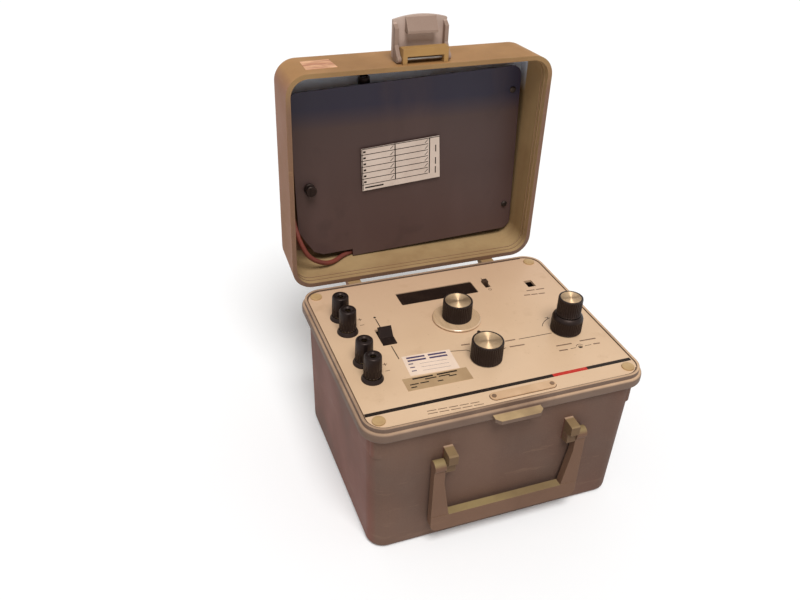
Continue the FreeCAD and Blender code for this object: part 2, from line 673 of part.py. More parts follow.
def base_inside(body):
    recess = rounded_at(body, "panel_recess", LIP_TOP, "case_width - 2 * panel_inset + 2 * fit_gap",
                        "case_depth - 2 * panel_inset + 2 * fit_gap", "panel_corner + fit_gap")
    pocket(body, recess, f"{LIP_TOP} - {PANEL_SEAT}")
    inner = "base_corner - wall"
    low = rounded_at(body, "hollow_low", "floor_thickness", "base_width - 2 * wall",
                     "base_depth - 2 * wall", inner)
    high = rounded_at(body, "hollow_high", PANEL_SEAT, "base_width + 2 * wall_lean - 2 * wall",
                      "base_depth + 2 * wall_lean - 2 * wall", inner)
    loft(body, low, high, cuts=True)
    boss_foot = f"{PANEL_SEAT} - screw_boss_height"
    pad(body, circles_at(body, "corner_bosses", boss_foot, PANEL_SCREWS, "screw_boss"), "screw_boss_height")
    posts = circles_at(body, "board_posts", "floor_thickness - wall / 2", BOARD_POSTS, "board_post")
    pad(body, posts, "board_height - floor_thickness + wall / 2")
    pad(body, circles_at(body, "strap_bosses", "floor_thickness - wall / 2", STRAP_FEET, "board_post"),
        f"{STRAP_FOOT_Z} - floor_thickness + wall / 2")
    pocket(body, circles_at(body, "panel_screw_holes", PANEL_SEAT, PANEL_SCREWS, "screw_shank + press_gap"),
           "screw_length + 1")
    hole = "board_screw + press_gap"
    depth = "board_screw_length + 1"
    pocket(body, circles_at(body, "board_screw_holes", "board_height", BOARD_POSTS, hole), depth)
    pocket(body, circles_at(body, "strap_screw_holes", STRAP_FOOT_Z, STRAP_FEET, hole), depth)


def base_ledge(body):
    """The shelf that the latch hooks under, with slanted front corners."""
    root = "-case_depth / 2 + panel_inset"
    side, slanted = "ledge_width / 2", "(ledge_width / 2 - ledge_slant)"
    shelf = sketch_on(body, "ledge", "XY_Plane", f"{LEDGE_TOP} - ledge_thickness")
    add_polygon(shelf, [
        (f"-{side}", root),
        (f"-{side}", f"ledge_slant - {LEDGE_Y}"),
        (f"-{slanted}", f"-{LEDGE_Y}"),
        (slanted, f"-{LEDGE_Y}"),
        (side, f"ledge_slant - {LEDGE_Y}"),
        (side, root),
    ])
    pad(body, shelf, "ledge_thickness")


def base_lugs(body):
    wall = "-base_depth / 2"
    for n, x in enumerate(LUGS):
        start = f"{x} - lug_width / 2"
        side_pad(body, f"lug_{n}", [
            (wall, "handle_height - lug_foot"),
            (f"{HANDLE_Y} - lug_throat", "handle_height - lug_chin"),
            (f"{HANDLE_Y} - lug_throat", "handle_height + lug_step"),
            (f"{HANDLE_Y} - lug_nose", "handle_height + lug_step + lug_slope"),
            (f"{HANDLE_Y} - lug_nose", "handle_height + lug_head - lug_slope"),
            (f"{HANDLE_Y} - lug_nose + lug_slope", "handle_height + lug_head - lug_slope / 2"),
            (wall, "handle_height + lug_head"),
        ], start, "lug_width")
        side_bore(body, f"lug_bore_{n}", HANDLE_Y, "handle_height", "handle_pin + run_gap", start,
                  "lug_width")


def base_hinges(body):
    wall = "base_depth / 2"
    for n, x in enumerate(HINGES):
        start = f"{x} - knuckle_length"
        length = "knuckle_length - knuckle_gap"
        side_pad(body, f"hinge_web_{n}", [
            (wall, f"{HINGE_Z} - web_drop"),
            (f"{wall} + web_foot", f"{HINGE_Z} - web_drop + web_foot / 4"),
            (f"{HINGE_Y} + knuckle * 0.8", f"{HINGE_Z} - knuckle * 0.6"),
            (f"{HINGE_Y}", f"{HINGE_Z} + knuckle"),
            (wall, f"{HINGE_Z} + knuckle"),
        ], start, length)
        side_rod(body, f"base_knuckle_{n}", HINGE_Y, HINGE_Z, "knuckle", start, length)
        side_bore(body, f"base_pin_hole_{n}", HINGE_Y, HINGE_Z, "hinge_pin + press_gap", start, length)
        side_pad(body, f"stop_{n}", [
            (wall, f"{HINGE_Z} - stop_drop"),
            (STOP_Y, f"{HINGE_Z} - stop_drop + stop_slope"),
            (STOP_Y, f"{HINGE_Z} - stop_top"),
            (wall, f"{HINGE_Z} - stop_top"),
        ], x, "knuckle_length")
        side_cut(body, f"knuckle_room_{n}", [
            (STOP_Y, f"{HINGE_Z} - knuckle - seat_gap"),
            (f"{HINGE_Y} + 2 * knuckle", f"{HINGE_Z} - knuckle - seat_gap"),
            (f"{HINGE_Y} + 2 * knuckle", f"{HINGE_Z} + knuckle + seat_gap"),
            (STOP_Y, f"{HINGE_Z} + knuckle + seat_gap"),
        ], f"{x} - knuckle_gap", "knuckle_length + 2 * knuckle_gap")


def base_shell():
    body = new_body("base_shell_body")
    base_outside(body)
    base_ledge(body)
    base_lugs(body)
    base_hinges(body)
    base_inside(body)
    return subpart(body, "base_shell")


# The panel
def front_panel():
    body = new_body("front_panel_body")
    plate = rounded_at(body, "panel_plate", PANEL_SEAT, "case_width - 2 * panel_inset",
                       "case_depth - 2 * panel_inset", "panel_corner")
    pad(body, plate, "panel_thickness")
    holes = sketch_on(body, "panel_holes", "XY_Plane", PANEL_TOP)
    for x, y in PANEL_SCREWS:
        add_circle(holes, x, y, "screw_shank + fit_gap")
    for x, y in POSTS:
        add_circle(holes, x, y, "post_stud + press_gap")
    for control in ("selector", "mode", "output"):
        add_circle(holes, f"{control}_x", f"{control}_y", "bushing + press_gap")
    add_circle(holes, "trimmer_x", "trimmer_y", "trimmer_hole")
    for side in (-1, 1):
        add_circle(holes, f"plate_x + {side} * rivet_spread / 2", "plate_y", "rivet + press_gap")
    pocket(body, holes, "panel_thickness")
    slots = sketch_on(body, "panel_slots", "XY_Plane", PANEL_TOP)
    add_rounded(slots, "window_width", "window_depth", "window_corner", "0", "window_y")
    add_rounded(slots, "rocker_width + 2 * fit_gap", "2 * rocker_room", "slot_corner", "rocker_x", "rocker_y")
    add_rounded(slots, "power_slot_width", "power_slot_length", "slot_corner", "power_x", "power_y")
    add_rounded(slots, "jack_width", "jack_length", "slot_corner", "jack_x", "jack_y")
    pocket(body, slots, "panel_thickness")
    return subpart(body, "front_panel")


def screw(name, x, y, seat, head, rise, shank, length):
    """A screw with a low domed head, standing on its seat."""
    top = cylinder(name + "_head", head, rise, x, y, seat)
    stem = cylinder(name + "_stem", shank, f"({length}) + ({rise}) / 2", x, y, f"{seat} - ({length})")
    return fused(name, [top, stem])


def panel_screws():
    screws = [
        screw(f"panel_screw_{n}", x, y, PANEL_TOP, "screw_head", "screw_head_rise", "screw_shank",
              "screw_length")
        for n, (x, y) in enumerate(PANEL_SCREWS)
    ]
    return subpart(grouped("panel_screw_set", screws), "panel_screws")


# The display
WINDOW_UNDER = f"({PANEL_SEAT} - window_thickness)"
DIGIT_FOOT = f"({WINDOW_UNDER} - seat_gap - digit_height)"


def display_window():
    body = new_body("display_window_body")
    flange = rounded_at(body, "window_back", WINDOW_UNDER, "window_width + 2 * window_flange",
                        "window_depth + 2 * window_flange", "window_corner", "0", "window_y")
    pad(body, flange, "window_thickness")
    pane = rounded_at(body, "window_pane", PANEL_SEAT, "window_width - fit_gap",
                      "window_depth - fit_gap", "window_corner", "0", "window_y")
    pad(body, pane, "panel_thickness - window_sink")
    return subpart(body, "display_window")


def display_digits():
    """A row of display modules behind the window."""
    count = int(number("digit_count"))
    digits = []
    for n in range(count):
        x = f"({n} - (digit_count - 1) / 2) * digit_pitch"
        digits.append(block(f"digit_{n}", "digit_pitch - seat_gap", "digit_depth", "digit_height",
                            x, "window_y", DIGIT_FOOT))
    return subpart(grouped("digit_row", digits), "display_digits")


def display_board():
    """The display's own board, with four stand-offs that reach up to the window's edge."""
    plate = block("display_plate", "window_width + 2 * window_flange", "window_depth + 2 * window_flange",
                  "board_thickness", "0", "window_y", f"{DIGIT_FOOT} - board_thickness")
    legs = []
    reach = "window_width / 2 + window_flange / 2 - seat_gap"
    along = "window_depth / 2 + window_flange / 2 - seat_gap"
    for n, (x, y) in enumerate(corners(reach, along)):
        legs.append(cylinder(f"display_leg_{n}", "window_flange / 2 - seat_gap",
                             f"{WINDOW_UNDER} - {DIGIT_FOOT} + board_thickness / 2",
                             x, f"window_y + {y}", f"{DIGIT_FOOT} - board_thickness / 2"))
    return subpart(fused("display_board_body", [plate] + legs), "display_board")


# The binding posts
def post_outline_cap():
    low = f"{PANEL_TOP} + post_flange_rise + post_washer + run_gap"
    top = f"{PANEL_TOP} + post_top"
    bore = "post_stud + run_gap"
    mouth = "post_socket + fit_gap"
    return [
        (bore, low),
        ("post_cap", low),
        ("post_cap", f"{low} + post_grip"),
        ("post_cap - post_taper / 2", f"{low} + post_grip + post_taper"),
        ("post_cap - post_taper", f"{top} - post_round"),
        ("post_cap - post_taper - 0.3 * post_round", f"{top} - 0.3 * post_round"),
        ("post_cap - post_taper - post_round", top),
        (f"{mouth} + post_mouth", top),
        (mouth, f"{top} - post_mouth"),
        (mouth, f"{top} - post_roof"),
        (bore, f"{top} - post_roof"),
    ]


def post_caps():
    for n, (x, y) in enumerate(POSTS, start=1):
        body = new_body(f"post_cap_{n}_body")
        turned(body, f"post_cap_outline_{n}", post_outline_cap())
        stand_at(body, x, y)
        subpart(body, f"post_cap_{n}")


def ring(name, outer, inner, height, x, y, z):
    """A flat ring standing on z."""
    body = cylinder(name + "_outside", outer, height, x, y, z)
    hole = cylinder(name + "_inside", inner, height, x, y, z)
    return cut_from(name, body, hole)


def post_washers():
    for n, (x, y) in enumerate(POSTS, start=1):
        washer = ring(f"post_washer_{n}_ring", "post_cap - 1", "post_stud + run_gap", "post_washer",
                      x, y, f"{PANEL_TOP} + post_flange_rise")
        subpart(washer, f"post_washer_{n}")


def post_flanges():
    """Collars that narrow towards the cap."""
    top = f"{PANEL_TOP} + post_flange_rise"
    collars = []
    for n, (x, y) in enumerate(POSTS):
        body = new_body(f"post_flange_{n}")
        turned(body, f"post_flange_outline_{n}", [
            ("post_stud + press_gap", PANEL_TOP),
            ("post_flange", PANEL_TOP),
            ("post_flange", f"{PANEL_TOP} + post_flange_rise / 4"),
            ("post_cap + fit_gap", top),
            ("post_stud + press_gap", top),
        ])
        stand_at(body, x, y)
        collars.append(body)
    return subpart(grouped("post_flange_set", collars), "post_flanges")


def post_studs():
    top = f"{PANEL_TOP} + post_top - post_roof - fit_gap"
    foot = f"{PANEL_SEAT} - post_tail"
    studs = []
    for n, (x, y) in enumerate(POSTS):
        stem = cylinder(f"post_stem_{n}", "post_stud", f"{top} - ({foot})", x, y, foot)
        socket = cylinder(f"post_socket_{n}", "post_socket", "post_socket_depth", x, y,
                          f"{top} - post_socket_depth")
        studs.append(cut_from(f"post_stud_{n}", stem, socket))
    return subpart(grouped("post_stud_set", studs), "post_studs")


def post_nuts():
    nuts = []
    for n, (x, y) in enumerate(POSTS):
        foot = f"{PANEL_SEAT} - post_nut_height"
        nut = hexagon(f"post_nut_body_{n}", "post_nut", "post_nut_height", x, y, foot)
        hole = cylinder(f"post_nut_hole_{n}", "post_stud + press_gap", "post_nut_height", x, y, foot)
        nuts.append(cut_from(f"post_nut_{n}", nut, hole))
    return subpart(grouped("post_nut_set", nuts), "post_nuts")


# The rotary controls
def control_body(control, label):
    """A rotary part under the panel, with its bushing through the panel and a bore for the shaft."""
    x, y = f"{control}_x", f"{control}_y"
    foot = f"{PANEL_SEAT} - control_depth"
    can = cylinder(f"{control}_can", f"{control}_body", "control_depth", x, y, foot)
    neck = cylinder(f"{control}_neck", "bushing", "control_depth / 2 + panel_thickness + bushing_rise",
                    x, y, f"{PANEL_SEAT} - control_depth / 2")
    bore = cylinder(f"{control}_bore", "shaft + run_gap", "control_depth + panel_thickness + bushing_rise",
                    x, y, f"{foot} + control_end")
    return subpart(cut_from(f"{control}_body_cut", fused(f"{control}_solid", [can, neck]), bore), label)


def control_nuts():
    nuts = []
    for control in ("selector", "mode", "output"):
        x, y = f"{control}_x", f"{control}_y"
        nut = hexagon(f"{control}_nut_body", "nut_size", "nut_height", x, y, PANEL_TOP)
        hole = cylinder(f"{control}_nut_hole", "bushing + press_gap", "nut_height", x, y, PANEL_TOP)
        nuts.append(cut_from(f"{control}_nut", nut, hole))
    return subpart(grouped("control_nut_set", nuts), "control_nuts")


def control_shaft(control, radius, top, label, bore=None):
    """A shaft from inside the control up to its knob; a bore makes it a tube."""
    x, y = f"{control}_x", f"{control}_y"
    foot = f"({PANEL_SEAT} - control_depth + control_end + run_gap)"
    length = f"{PANEL_TOP} + ({top}) - {foot}"
    stem = cylinder(label + "_stem", radius, length, x, y, foot)
    if bore:
        hole = cylinder(label + "_hole", bore, length, x, y, foot)
        stem = cut_from(label + "_tube", stem, hole)
    return subpart(stem, label)


def knob_outline(radius, low, top, inlay, shaft_radius, shaft_top, hollow_top):
    """A knob, closed at the top, hollow underneath, with a shallow seat for its inlay."""
    edge = f"{radius} - knob_edge"
    seat = f"{top} - inlay_sink"
    bore = f"{shaft_radius} + press_gap"
    return [
        ("0", seat),
        (f"{inlay} + press_gap", seat),
        (f"{inlay} + press_gap", top),
        (edge, top),
        (radius, f"{top} - knob_edge"),
        (radius, low),
        ("knob_hollow", low),
        ("knob_hollow", hollow_top),
        (bore, hollow_top),
        (bore, f"{shaft_top} + fit_gap"),
        ("0", f"{shaft_top} + fit_gap"),
    ]


def inlay_disc(control, radius, top, label):
    disc = cylinder(label + "_disc", radius, "inlay_thickness", f"{control}_x", f"{control}_y",
                    f"{top} - inlay_sink")
    return subpart(disc, label)


def panel_level(height):
    """A height above the panel's face."""
    return f"({PANEL_TOP} + {height})"


HOLLOW_TOP = panel_level("bushing_rise + fit_gap")


def selector():
    low = panel_level("knob_gap + skirt_thickness")
    top = panel_level("selector_top")
    body = new_body("selector_knob_body")
    inlay = "selector_radius - inlay_margin"
    shaft_top = panel_level("selector_top - shaft_cover")
    turned(body, "selector_outline",
           knob_outline("selector_radius", low, top, inlay, "shaft", shaft_top, HOLLOW_TOP))
    stand_at(body, "selector_x", "selector_y")
    subpart(body, "selector_knob")
    inlay_disc("selector", inlay, top, "selector_inlay")
    skirt = ring("selector_skirt_ring", "skirt_radius", "knob_hollow", "skirt_thickness",
                 "selector_x", "selector_y", panel_level("knob_gap"))
    subpart(skirt, "selector_skirt")
    control_shaft("selector", "shaft", "selector_top - shaft_cover", "selector_shaft")


def mode_pointer(body, low, high):
    """The nub on the knob's side that points at the setting."""
    lines = []
    root, tip = "-pointer_reach", "pointer_reach"
    for out, side in ((root, -1), (tip, -1), (tip, 1), (root, 1)):
        along = f"(mode_radius + {out})"
        across = f"({side} * pointer_width / 2)"
        lines.append((f"{along} * cos(pointer_angle) - {across} * sin(pointer_angle)",
                      f"{along} * sin(pointer_angle) + {across} * cos(pointer_angle)"))
    sketch = sketch_on(body, "mode_pointer", "XY_Plane", low)
    add_polygon(sketch, lines)
    pad(body, sketch, f"{high} - {low}")


def mode_switch():
    low = panel_level("knob_gap")
    top = panel_level("mode_top")
    body = new_body("mode_knob_body")
    inlay = "mode_radius - inlay_margin"
    shaft_top = panel_level("mode_top - shaft_cover")
    turned(body, "mode_outline", knob_outline("mode_radius", low, top, inlay, "shaft", shaft_top, HOLLOW_TOP))
    mode_pointer(body, low, f"({top} - knob_edge)")
    stand_at(body, "mode_x", "mode_y")
    subpart(body, "mode_knob")
    inlay_disc("mode", inlay, top, "mode_inlay")
    control_shaft("mode", "shaft", "mode_top - shaft_cover", "mode_shaft")


def output_coarse():
    low = panel_level("knob_gap")
    top = panel_level("coarse_top")
    body = new_body("coarse_knob_body")
    turned(body, "coarse_outline", [
        ("shaft + press_gap", top),
        ("coarse_radius - coarse_land", top),
        ("coarse_radius", f"{top} - coarse_bevel"),
        ("coarse_radius", low),
        ("knob_hollow", low),
        ("knob_hollow", HOLLOW_TOP),
        ("shaft + press_gap", HOLLOW_TOP),
    ])
    stand_at(body, "output_x", "output_y")
    subpart(body, "coarse_knob")
    control_shaft("output", "shaft", "coarse_top", "coarse_shaft", bore="inner_shaft + run_gap")


def output_fine():
    low = panel_level("coarse_top + fit_gap")
    top = panel_level("fine_top")
    shaft_top = panel_level("fine_top - shaft_cover")
    body = new_body("fine_knob_body")
    edge = "fine_radius - inlay_margin + press_gap"
    turned(body, "fine_outline", [
        ("0", f"{top} - inlay_sink"),
        (edge, f"{top} - inlay_sink"),
        (edge, top),
        ("fine_radius - knob_edge", top),
        ("fine_radius", f"{top} - knob_edge"),
        ("fine_radius", low),
        ("inner_shaft + press_gap", low),
        ("inner_shaft + press_gap", f"{shaft_top} + fit_gap"),
        ("0", f"{shaft_top} + fit_gap"),
    ])
    stand_at(body, "output_x", "output_y")
    subpart(body, "fine_knob")
    inlay_disc("output", "fine_radius - inlay_margin", top, "fine_inlay")
    control_shaft("output", "inner_shaft", "fine_top - shaft_cover", "fine_shaft")


# The rocker switch
ROCKER_FOLD = "(rocker_lift * cos(rocker_angle / 2))"
ROCKER_Z = f"({PANEL_TOP} + rocker_rise - {ROCKER_FOLD})"


def rocker_paddle():
    """A folded paddle: the front half lies flat, the rear half stands up, until it is tipped over."""
    fold_y = "(rocker_y - rocker_lift * sin(rocker_angle / 2))"
    flat = f"({ROCKER_Z} + {ROCKER_FOLD})"
    end_y = f"({fold_y} + rocker_half * cos(rocker_angle))"
    end_z = f"({flat} + rocker_half * sin(rocker_angle))"
    under = "(rocker_lift - rocker_plate / cos(rocker_angle / 2))"
    start = "rocker_x - rocker_width / 2"
    body = new_body("rocker_paddle_body")
    side_pad(body, "rocker_profile", [
        (f"{fold_y} - rocker_half", flat),
        (fold_y, flat),
        (end_y, end_z),
        (f"{end_y} + rocker_plate * sin(rocker_angle)", f"{end_z} - rocker_plate * cos(rocker_angle)"),
        (f"rocker_y - {under} * sin(rocker_angle / 2)", f"{ROCKER_Z} + {under} * cos(rocker_angle / 2)"),
        (f"{fold_y} - rocker_half", f"{flat} - rocker_plate"),
    ], start, "rocker_width")
    side_rod(body, "rocker_hub", "rocker_y", ROCKER_Z, "rocker_hub", start, "rocker_width")
    side_rod(body, "rocker_pins", "rocker_y", ROCKER_Z, "rocker_pin", f"{start} - housing_wall",
             "rocker_width + 2 * housing_wall")
    return subpart(body, "rocker_paddle")


def rocker_housing():
    width = "rocker_width + 2 * fit_gap"
    body = new_body("rocker_housing_body")
    outside = rounded_at(body, "rocker_case", f"{PANEL_SEAT} - rocker_deep", f"{width} + 2 * housing_wall",
                         "2 * rocker_room + 2 * housing_wall", "slot_corner", "rocker_x", "rocker_y")
    pad(body, outside, "rocker_deep")
    inside = rounded_at(body, "rocker_room", PANEL_SEAT, width, "2 * rocker_room", "slot_corner",
                        "rocker_x", "rocker_y")
    pocket(body, inside, "rocker_deep - housing_wall")
    side_bore(body, "rocker_pin_hole", "rocker_y", ROCKER_Z, "rocker_pin + run_gap",
              "rocker_x - rocker_width / 2 - fit_gap - housing_wall", f"{width} + 2 * housing_wall")
    return subpart(body, "rocker_housing")


# The power switch, the charger jack and the trimmer
def power_switch_body():
    width = "power_slot_width + 4 * housing_wall"
    length = "power_slot_length + 4 * housing_wall"
    foot = f"{PANEL_SEAT} - power_deep"
    outside = block("power_case", width, length, "power_deep", "power_x", "power_y", foot)
    room = block("power_room", f"{width} - 2 * housing_wall", f"{length} - 2 * housing_wall",
                 "power_deep - housing_wall", "power_x", "power_y", f"{foot} + housing_wall")
    return subpart(cut_from("power_case_cut", outside, room), "power_switch_body")


def power_slider():
    """The thumb piece, and the plate under the panel that keeps it in."""
    y = "power_y + power_travel / 2"
    foot = f"{PANEL_SEAT} - power_deep + housing_wall + run_gap"
    plate = block("slider_plate", "power_slot_width + 2 * housing_wall - 2 * fit_gap",
                  "power_slot_length - power_travel + housing_wall", "power_plate", "power_x", y, foot)
    thumb = block("slider_thumb", "power_slot_width - 2 * fit_gap",
                  "power_slot_length - power_travel - 2 * fit_gap",
                  f"{PANEL_TOP} + power_rise - ({foot})", "power_x", y, foot)
    return subpart(fused("slider_body", [plate, thumb]), "power_slider")


def charger_jack():
    case = block("jack_case", "jack_width + 2 * housing_wall", "jack_length + 2 * housing_wall", "jack_deep",
                 "jack_x", "jack_y", f"{PANEL_SEAT} - jack_deep")
    room = block("jack_room", "jack_width", "jack_length", "jack_deep - housing_wall", "jack_x", "jack_y",
                 f"{PANEL_SEAT} - jack_deep + housing_wall")
    pin = cylinder("jack_pin", "jack_contact", "jack_deep - 2 * housing_wall", "jack_x", "jack_y",
                   f"{PANEL_SEAT} - jack_deep + housing_wall / 2")
    return subpart(fused("jack_body", [cut_from("jack_shell", case, room), pin]), "charger_jack")


def trimmer():
    can = cylinder("trimmer_can", "2 * trimmer_hole", "trimmer_deep", "trimmer_x", "trimmer_y",
                   f"{PANEL_SEAT} - trimmer_deep")
    head = cylinder("trimmer_head", "trimmer_hole - fit_gap", "trimmer_deep / 2 + panel_thickness / 2",
                    "trimmer_x", "trimmer_y", f"{PANEL_SEAT} - trimmer_deep / 2")
    slot = block("trimmer_slot", "2 * trimmer_hole", "trimmer_slot", "panel_thickness / 2",
                 "trimmer_x", "trimmer_y", PANEL_SEAT)
    return subpart(cut_from("trimmer_cut", fused("trimmer_solid", [can, head]), slot), "trimmer")


# The small riveted plate
def rivet_spots():
    return [(f"plate_x + {side} * rivet_spread / 2", "plate_y") for side in (-1, 1)]


def nameplate():
    body = new_body("nameplate_body")
    plate = rounded_at(body, "nameplate_outline", PANEL_TOP, "plate_width", "plate_depth",
                       "plate_depth / 2 - run_gap", "plate_x", "plate_y")
    pad(body, plate, "plate_thickness")
    pocket(body, circles_at(body, "nameplate_holes", f"{PANEL_TOP} + plate_thickness", rivet_spots(),
                            "rivet + press_gap"), "plate_thickness")
    return subpart(body, "nameplate")


def nameplate_rivets():
    rivets = []
    for n, (x, y) in enumerate(rivet_spots()):
        rivets.append(screw(f"plate_rivet_{n}", x, y, f"{PANEL_TOP} + plate_thickness", "1.5 * rivet",
                            "rivet / 2", "rivet", "plate_thickness + panel_thickness"))
    return subpart(grouped("plate_rivet_set", rivets), "nameplate_rivets")


# Inside the base
def main_circuit_board():
    body = new_body("main_circuit_board_body")
    plate = rounded_at(body, "board_outline", "board_height", "board_width", "board_depth", "board_post")
    pad(body, plate, "board_thickness")
    pocket(body, circles_at(body, "board_holes", "board_height + board_thickness", BOARD_POSTS,
                            "board_screw + fit_gap"), "board_thickness")
    return subpart(body, "main_circuit_board")


def board_components():
    """A transformer, three capacitors and rows of chips."""
    seat = "board_height + board_thickness"
    parts = [block("transformer", "transformer_width", "transformer_depth", "transformer_height",
                   "-transformer_left", "parts_back", seat)]
    for n in range(3):
        parts.append(cylinder(f"capacitor_{n}", "capacitor", "capacitor_height",
                              f"({n} - 1) * capacitor_pitch", "capacitor_back", seat))
    for row in range(2):
        for n in range(4):
            parts.append(block(f"chip_{row}_{n}", "chip_width", "chip_depth", "chip_height",
                               f"({n} - 1.5) * chip_pitch", f"{row} * chip_row - chip_front", seat))
    return subpart(grouped("component_set", parts), "board_components")


def inner_screws():
    screws = [
        screw(f"board_screw_{n}", x, y, "board_height + board_thickness", "2 * board_screw", "board_screw",
              "board_screw", "board_thickness + board_screw_length")
        for n, (x, y) in enumerate(BOARD_POSTS)
    ]
    for n, (x, y) in enumerate(STRAP_FEET):
        screws.append(screw(f"strap_screw_{n}", x, y, f"{STRAP_FOOT_Z} + strap", "2 * board_screw",
                            "board_screw", "board_screw", "strap + board_screw_length"))
    return subpart(grouped("inner_screw_set", screws), "inner_screws")


def battery_cells():
    cells = []
    for n in range(4):
        cell = doc.addObject("Part::Cylinder", f"cell_{n}")
        cell.Placement = FreeCAD.Placement(FreeCAD.Vector(), FreeCAD.Rotation(FreeCAD.Vector(1, 0, 0), -90))
        bind(cell, Radius="cell_radius", Height="cell_length")
        stand_at(cell, f"({n} - 1.5) * (2 * cell_radius + cell_gap)", "-cell_length / 2",
                 "floor_thickness + cell_radius")
        cells.append(cell)
    return subpart(grouped("cell_set", cells), "battery_cells")


def battery_clamp():
    half = STRAP_HALF
    foot = f"({STRAP_FOOT_X} + strap_foot / 2)"
    outer = f"({half} + strap)"
    crown = f"({STRAP_TOP} + strap)"
    sole = f"({STRAP_FOOT_Z} + strap)"
    body = new_body("battery_clamp_body")
    sketch = sketch_on(body, "strap_profile", "XZ_Plane", "-strap_width / 2")
    add_polygon(sketch, [
        (f"-{foot}", STRAP_FOOT_Z), (f"-{half}", STRAP_FOOT_Z), (f"-{half}", STRAP_TOP),
        (half, STRAP_TOP), (half, STRAP_FOOT_Z), (foot, STRAP_FOOT_Z),
        (foot, sole), (outer, sole), (outer, crown),
        (f"-{outer}", crown), (f"-{outer}", sole), (f"-{foot}", sole),
    ])
    pad(body, sketch, "strap_width")
    pocket(body, circles_at(body, "strap_holes", sole, STRAP_FEET, "board_screw + fit_gap"), "strap")
    return subpart(body, "battery_clamp")


# The handle
def carry_handle():
    inner = "(handle_span / 2 - handle_arm)"
    low = "(handle_height - handle_drop)"
    body = new_body("carry_handle_body")
    side_pad(body, "handle_bar", [
        (f"{HANDLE_Y} - handle_bar_depth / 2", low),
        (f"{HANDLE_Y} + handle_bar_depth / 2", low),
        (f"{HANDLE_Y} + handle_bar_depth / 2", f"{low} + handle_bar"),
        (f"{HANDLE_Y} - handle_bar_depth / 2", f"{low} + handle_bar"),
    ], "-handle_span / 2", "handle_span")
    root = "(handle_span / 2 - handle_root)"
    for n, (side, start) in enumerate(((-1, "-handle_span / 2"), (1, inner))):
        front_pad(body, f"handle_arm_{n}", [
            (f"{side} * {inner}", "handle_height"),
            (f"{side} * {inner}", "handle_height - handle_straight"),
            (f"{side} * {root}", f"{low} + handle_bar"),
            (f"{side} * {root}", f"{low} + handle_bar / 2"),
            (f"{side} * handle_span / 2", f"{low} + handle_bar / 2"),
            (f"{side} * handle_span / 2", "handle_height"),
        ], f"{HANDLE_Y} + handle_depth / 2", "handle_depth")
        side_rod(body, f"handle_eye_{n}", HANDLE_Y, "handle_height", "handle_eye", start, "handle_arm")
    side_rod(body, "handle_pin_0", HANDLE_Y, "handle_height", "handle_pin", f"-{inner} - handle_arm / 2",
             "handle_arm / 2 + fit_gap + lug_width")
    side_rod(body, "handle_pin_1", HANDLE_Y, "handle_height", "handle_pin", f"{inner} - fit_gap - lug_width",
             "handle_arm / 2 + fit_gap + lug_width")
    side = number("handle_span / 2")
    foot = number(low)
    deep = number("handle_bar_depth / 2")

    def outer_corner(edge):
        box = edge.BoundBox
        at_corner = abs(abs(box.Center.x) - side) < NEAR and abs(box.Center.z - foot) < NEAR
        return at_corner and box.YLength > deep

    round_edges(body, "handle_corners", "handle_corner", outer_corner)
    return subpart(body, "carry_handle")


# The hinge
def hinge_pins():
    pins = [
        rod(f"hinge_pin_{n}", "hinge_pin", "2 * knuckle_length - 2 * seat_gap",
            f"{x} - knuckle_length + seat_gap", HINGE_Y, HINGE_Z)
        for n, x in enumerate(HINGES)
    ]
    return subpart(grouped("hinge_pin_set", pins), "hinge_pins")


# The lid
def cover_spot(across, up):
    """Where a place on the cover's face lies in plan when the lid is shut."""
    x = f"cover_x + ({across}) * cos(cover_skew) - ({up}) * sin(cover_skew)"
    y = f"{HINGE_Y} + {HINGE_Z} - cover_z - ({across}) * sin(cover_skew) - ({up}) * cos(cover_skew)"
    return x, y


COVER_SCREWS = [
    ("cover_width / 2 - cover_screw_in", "cover_length / 2 - cover_screw_top"),
    ("cover_width / 2 - cover_screw_in", "cover_screw_low - cover_length / 2"),
]
TURN_PLACE = ("turn_in - cover_width / 2", "turn_up - cover_length / 2")


def lid_bracket(body):
    """The bracket that carries the latch: two posts, a bar across the front and a web on top."""
    root = "-case_depth / 2 + lid_rim / 2"
    front = "(-case_depth / 2 - bracket_reach)"
    behind = f"({front} + bracket_bar)"
    low = f"({LID_SEAT} + bracket_rise)"
    high = f"({low} + bracket_height)"
    side_pad(body, "bracket_bar", [
        (front, low), (behind, low), (behind, high), (f"{front} + bracket_slope", high),
        (front, f"{high} - bracket_brow"),
    ], "-bracket_width / 2", "bracket_width")
    side_pad(body, "bracket_web", [
        (root, f"{high} - bracket_roof"), (root, high), (f"{behind} - bracket_joint", high),
        (f"{behind} - bracket_joint", f"{high} - bracket_roof"),
    ], "-bracket_width / 2", "bracket_width")
    for n, start in enumerate(("-bracket_width / 2", "bracket_width / 2 - bracket_post")):
        side_pad(body, f"bracket_post_{n}", [
            (root, low), (root, high), (f"{behind} - bracket_joint", high),
            (f"{behind} - bracket_joint", low),
        ], start, "bracket_post")
    side_bore(body, "bracket_bore", LATCH_Y, LATCH_Z, "latch_pin + press_gap", "-bracket_width / 2",
              "bracket_width")


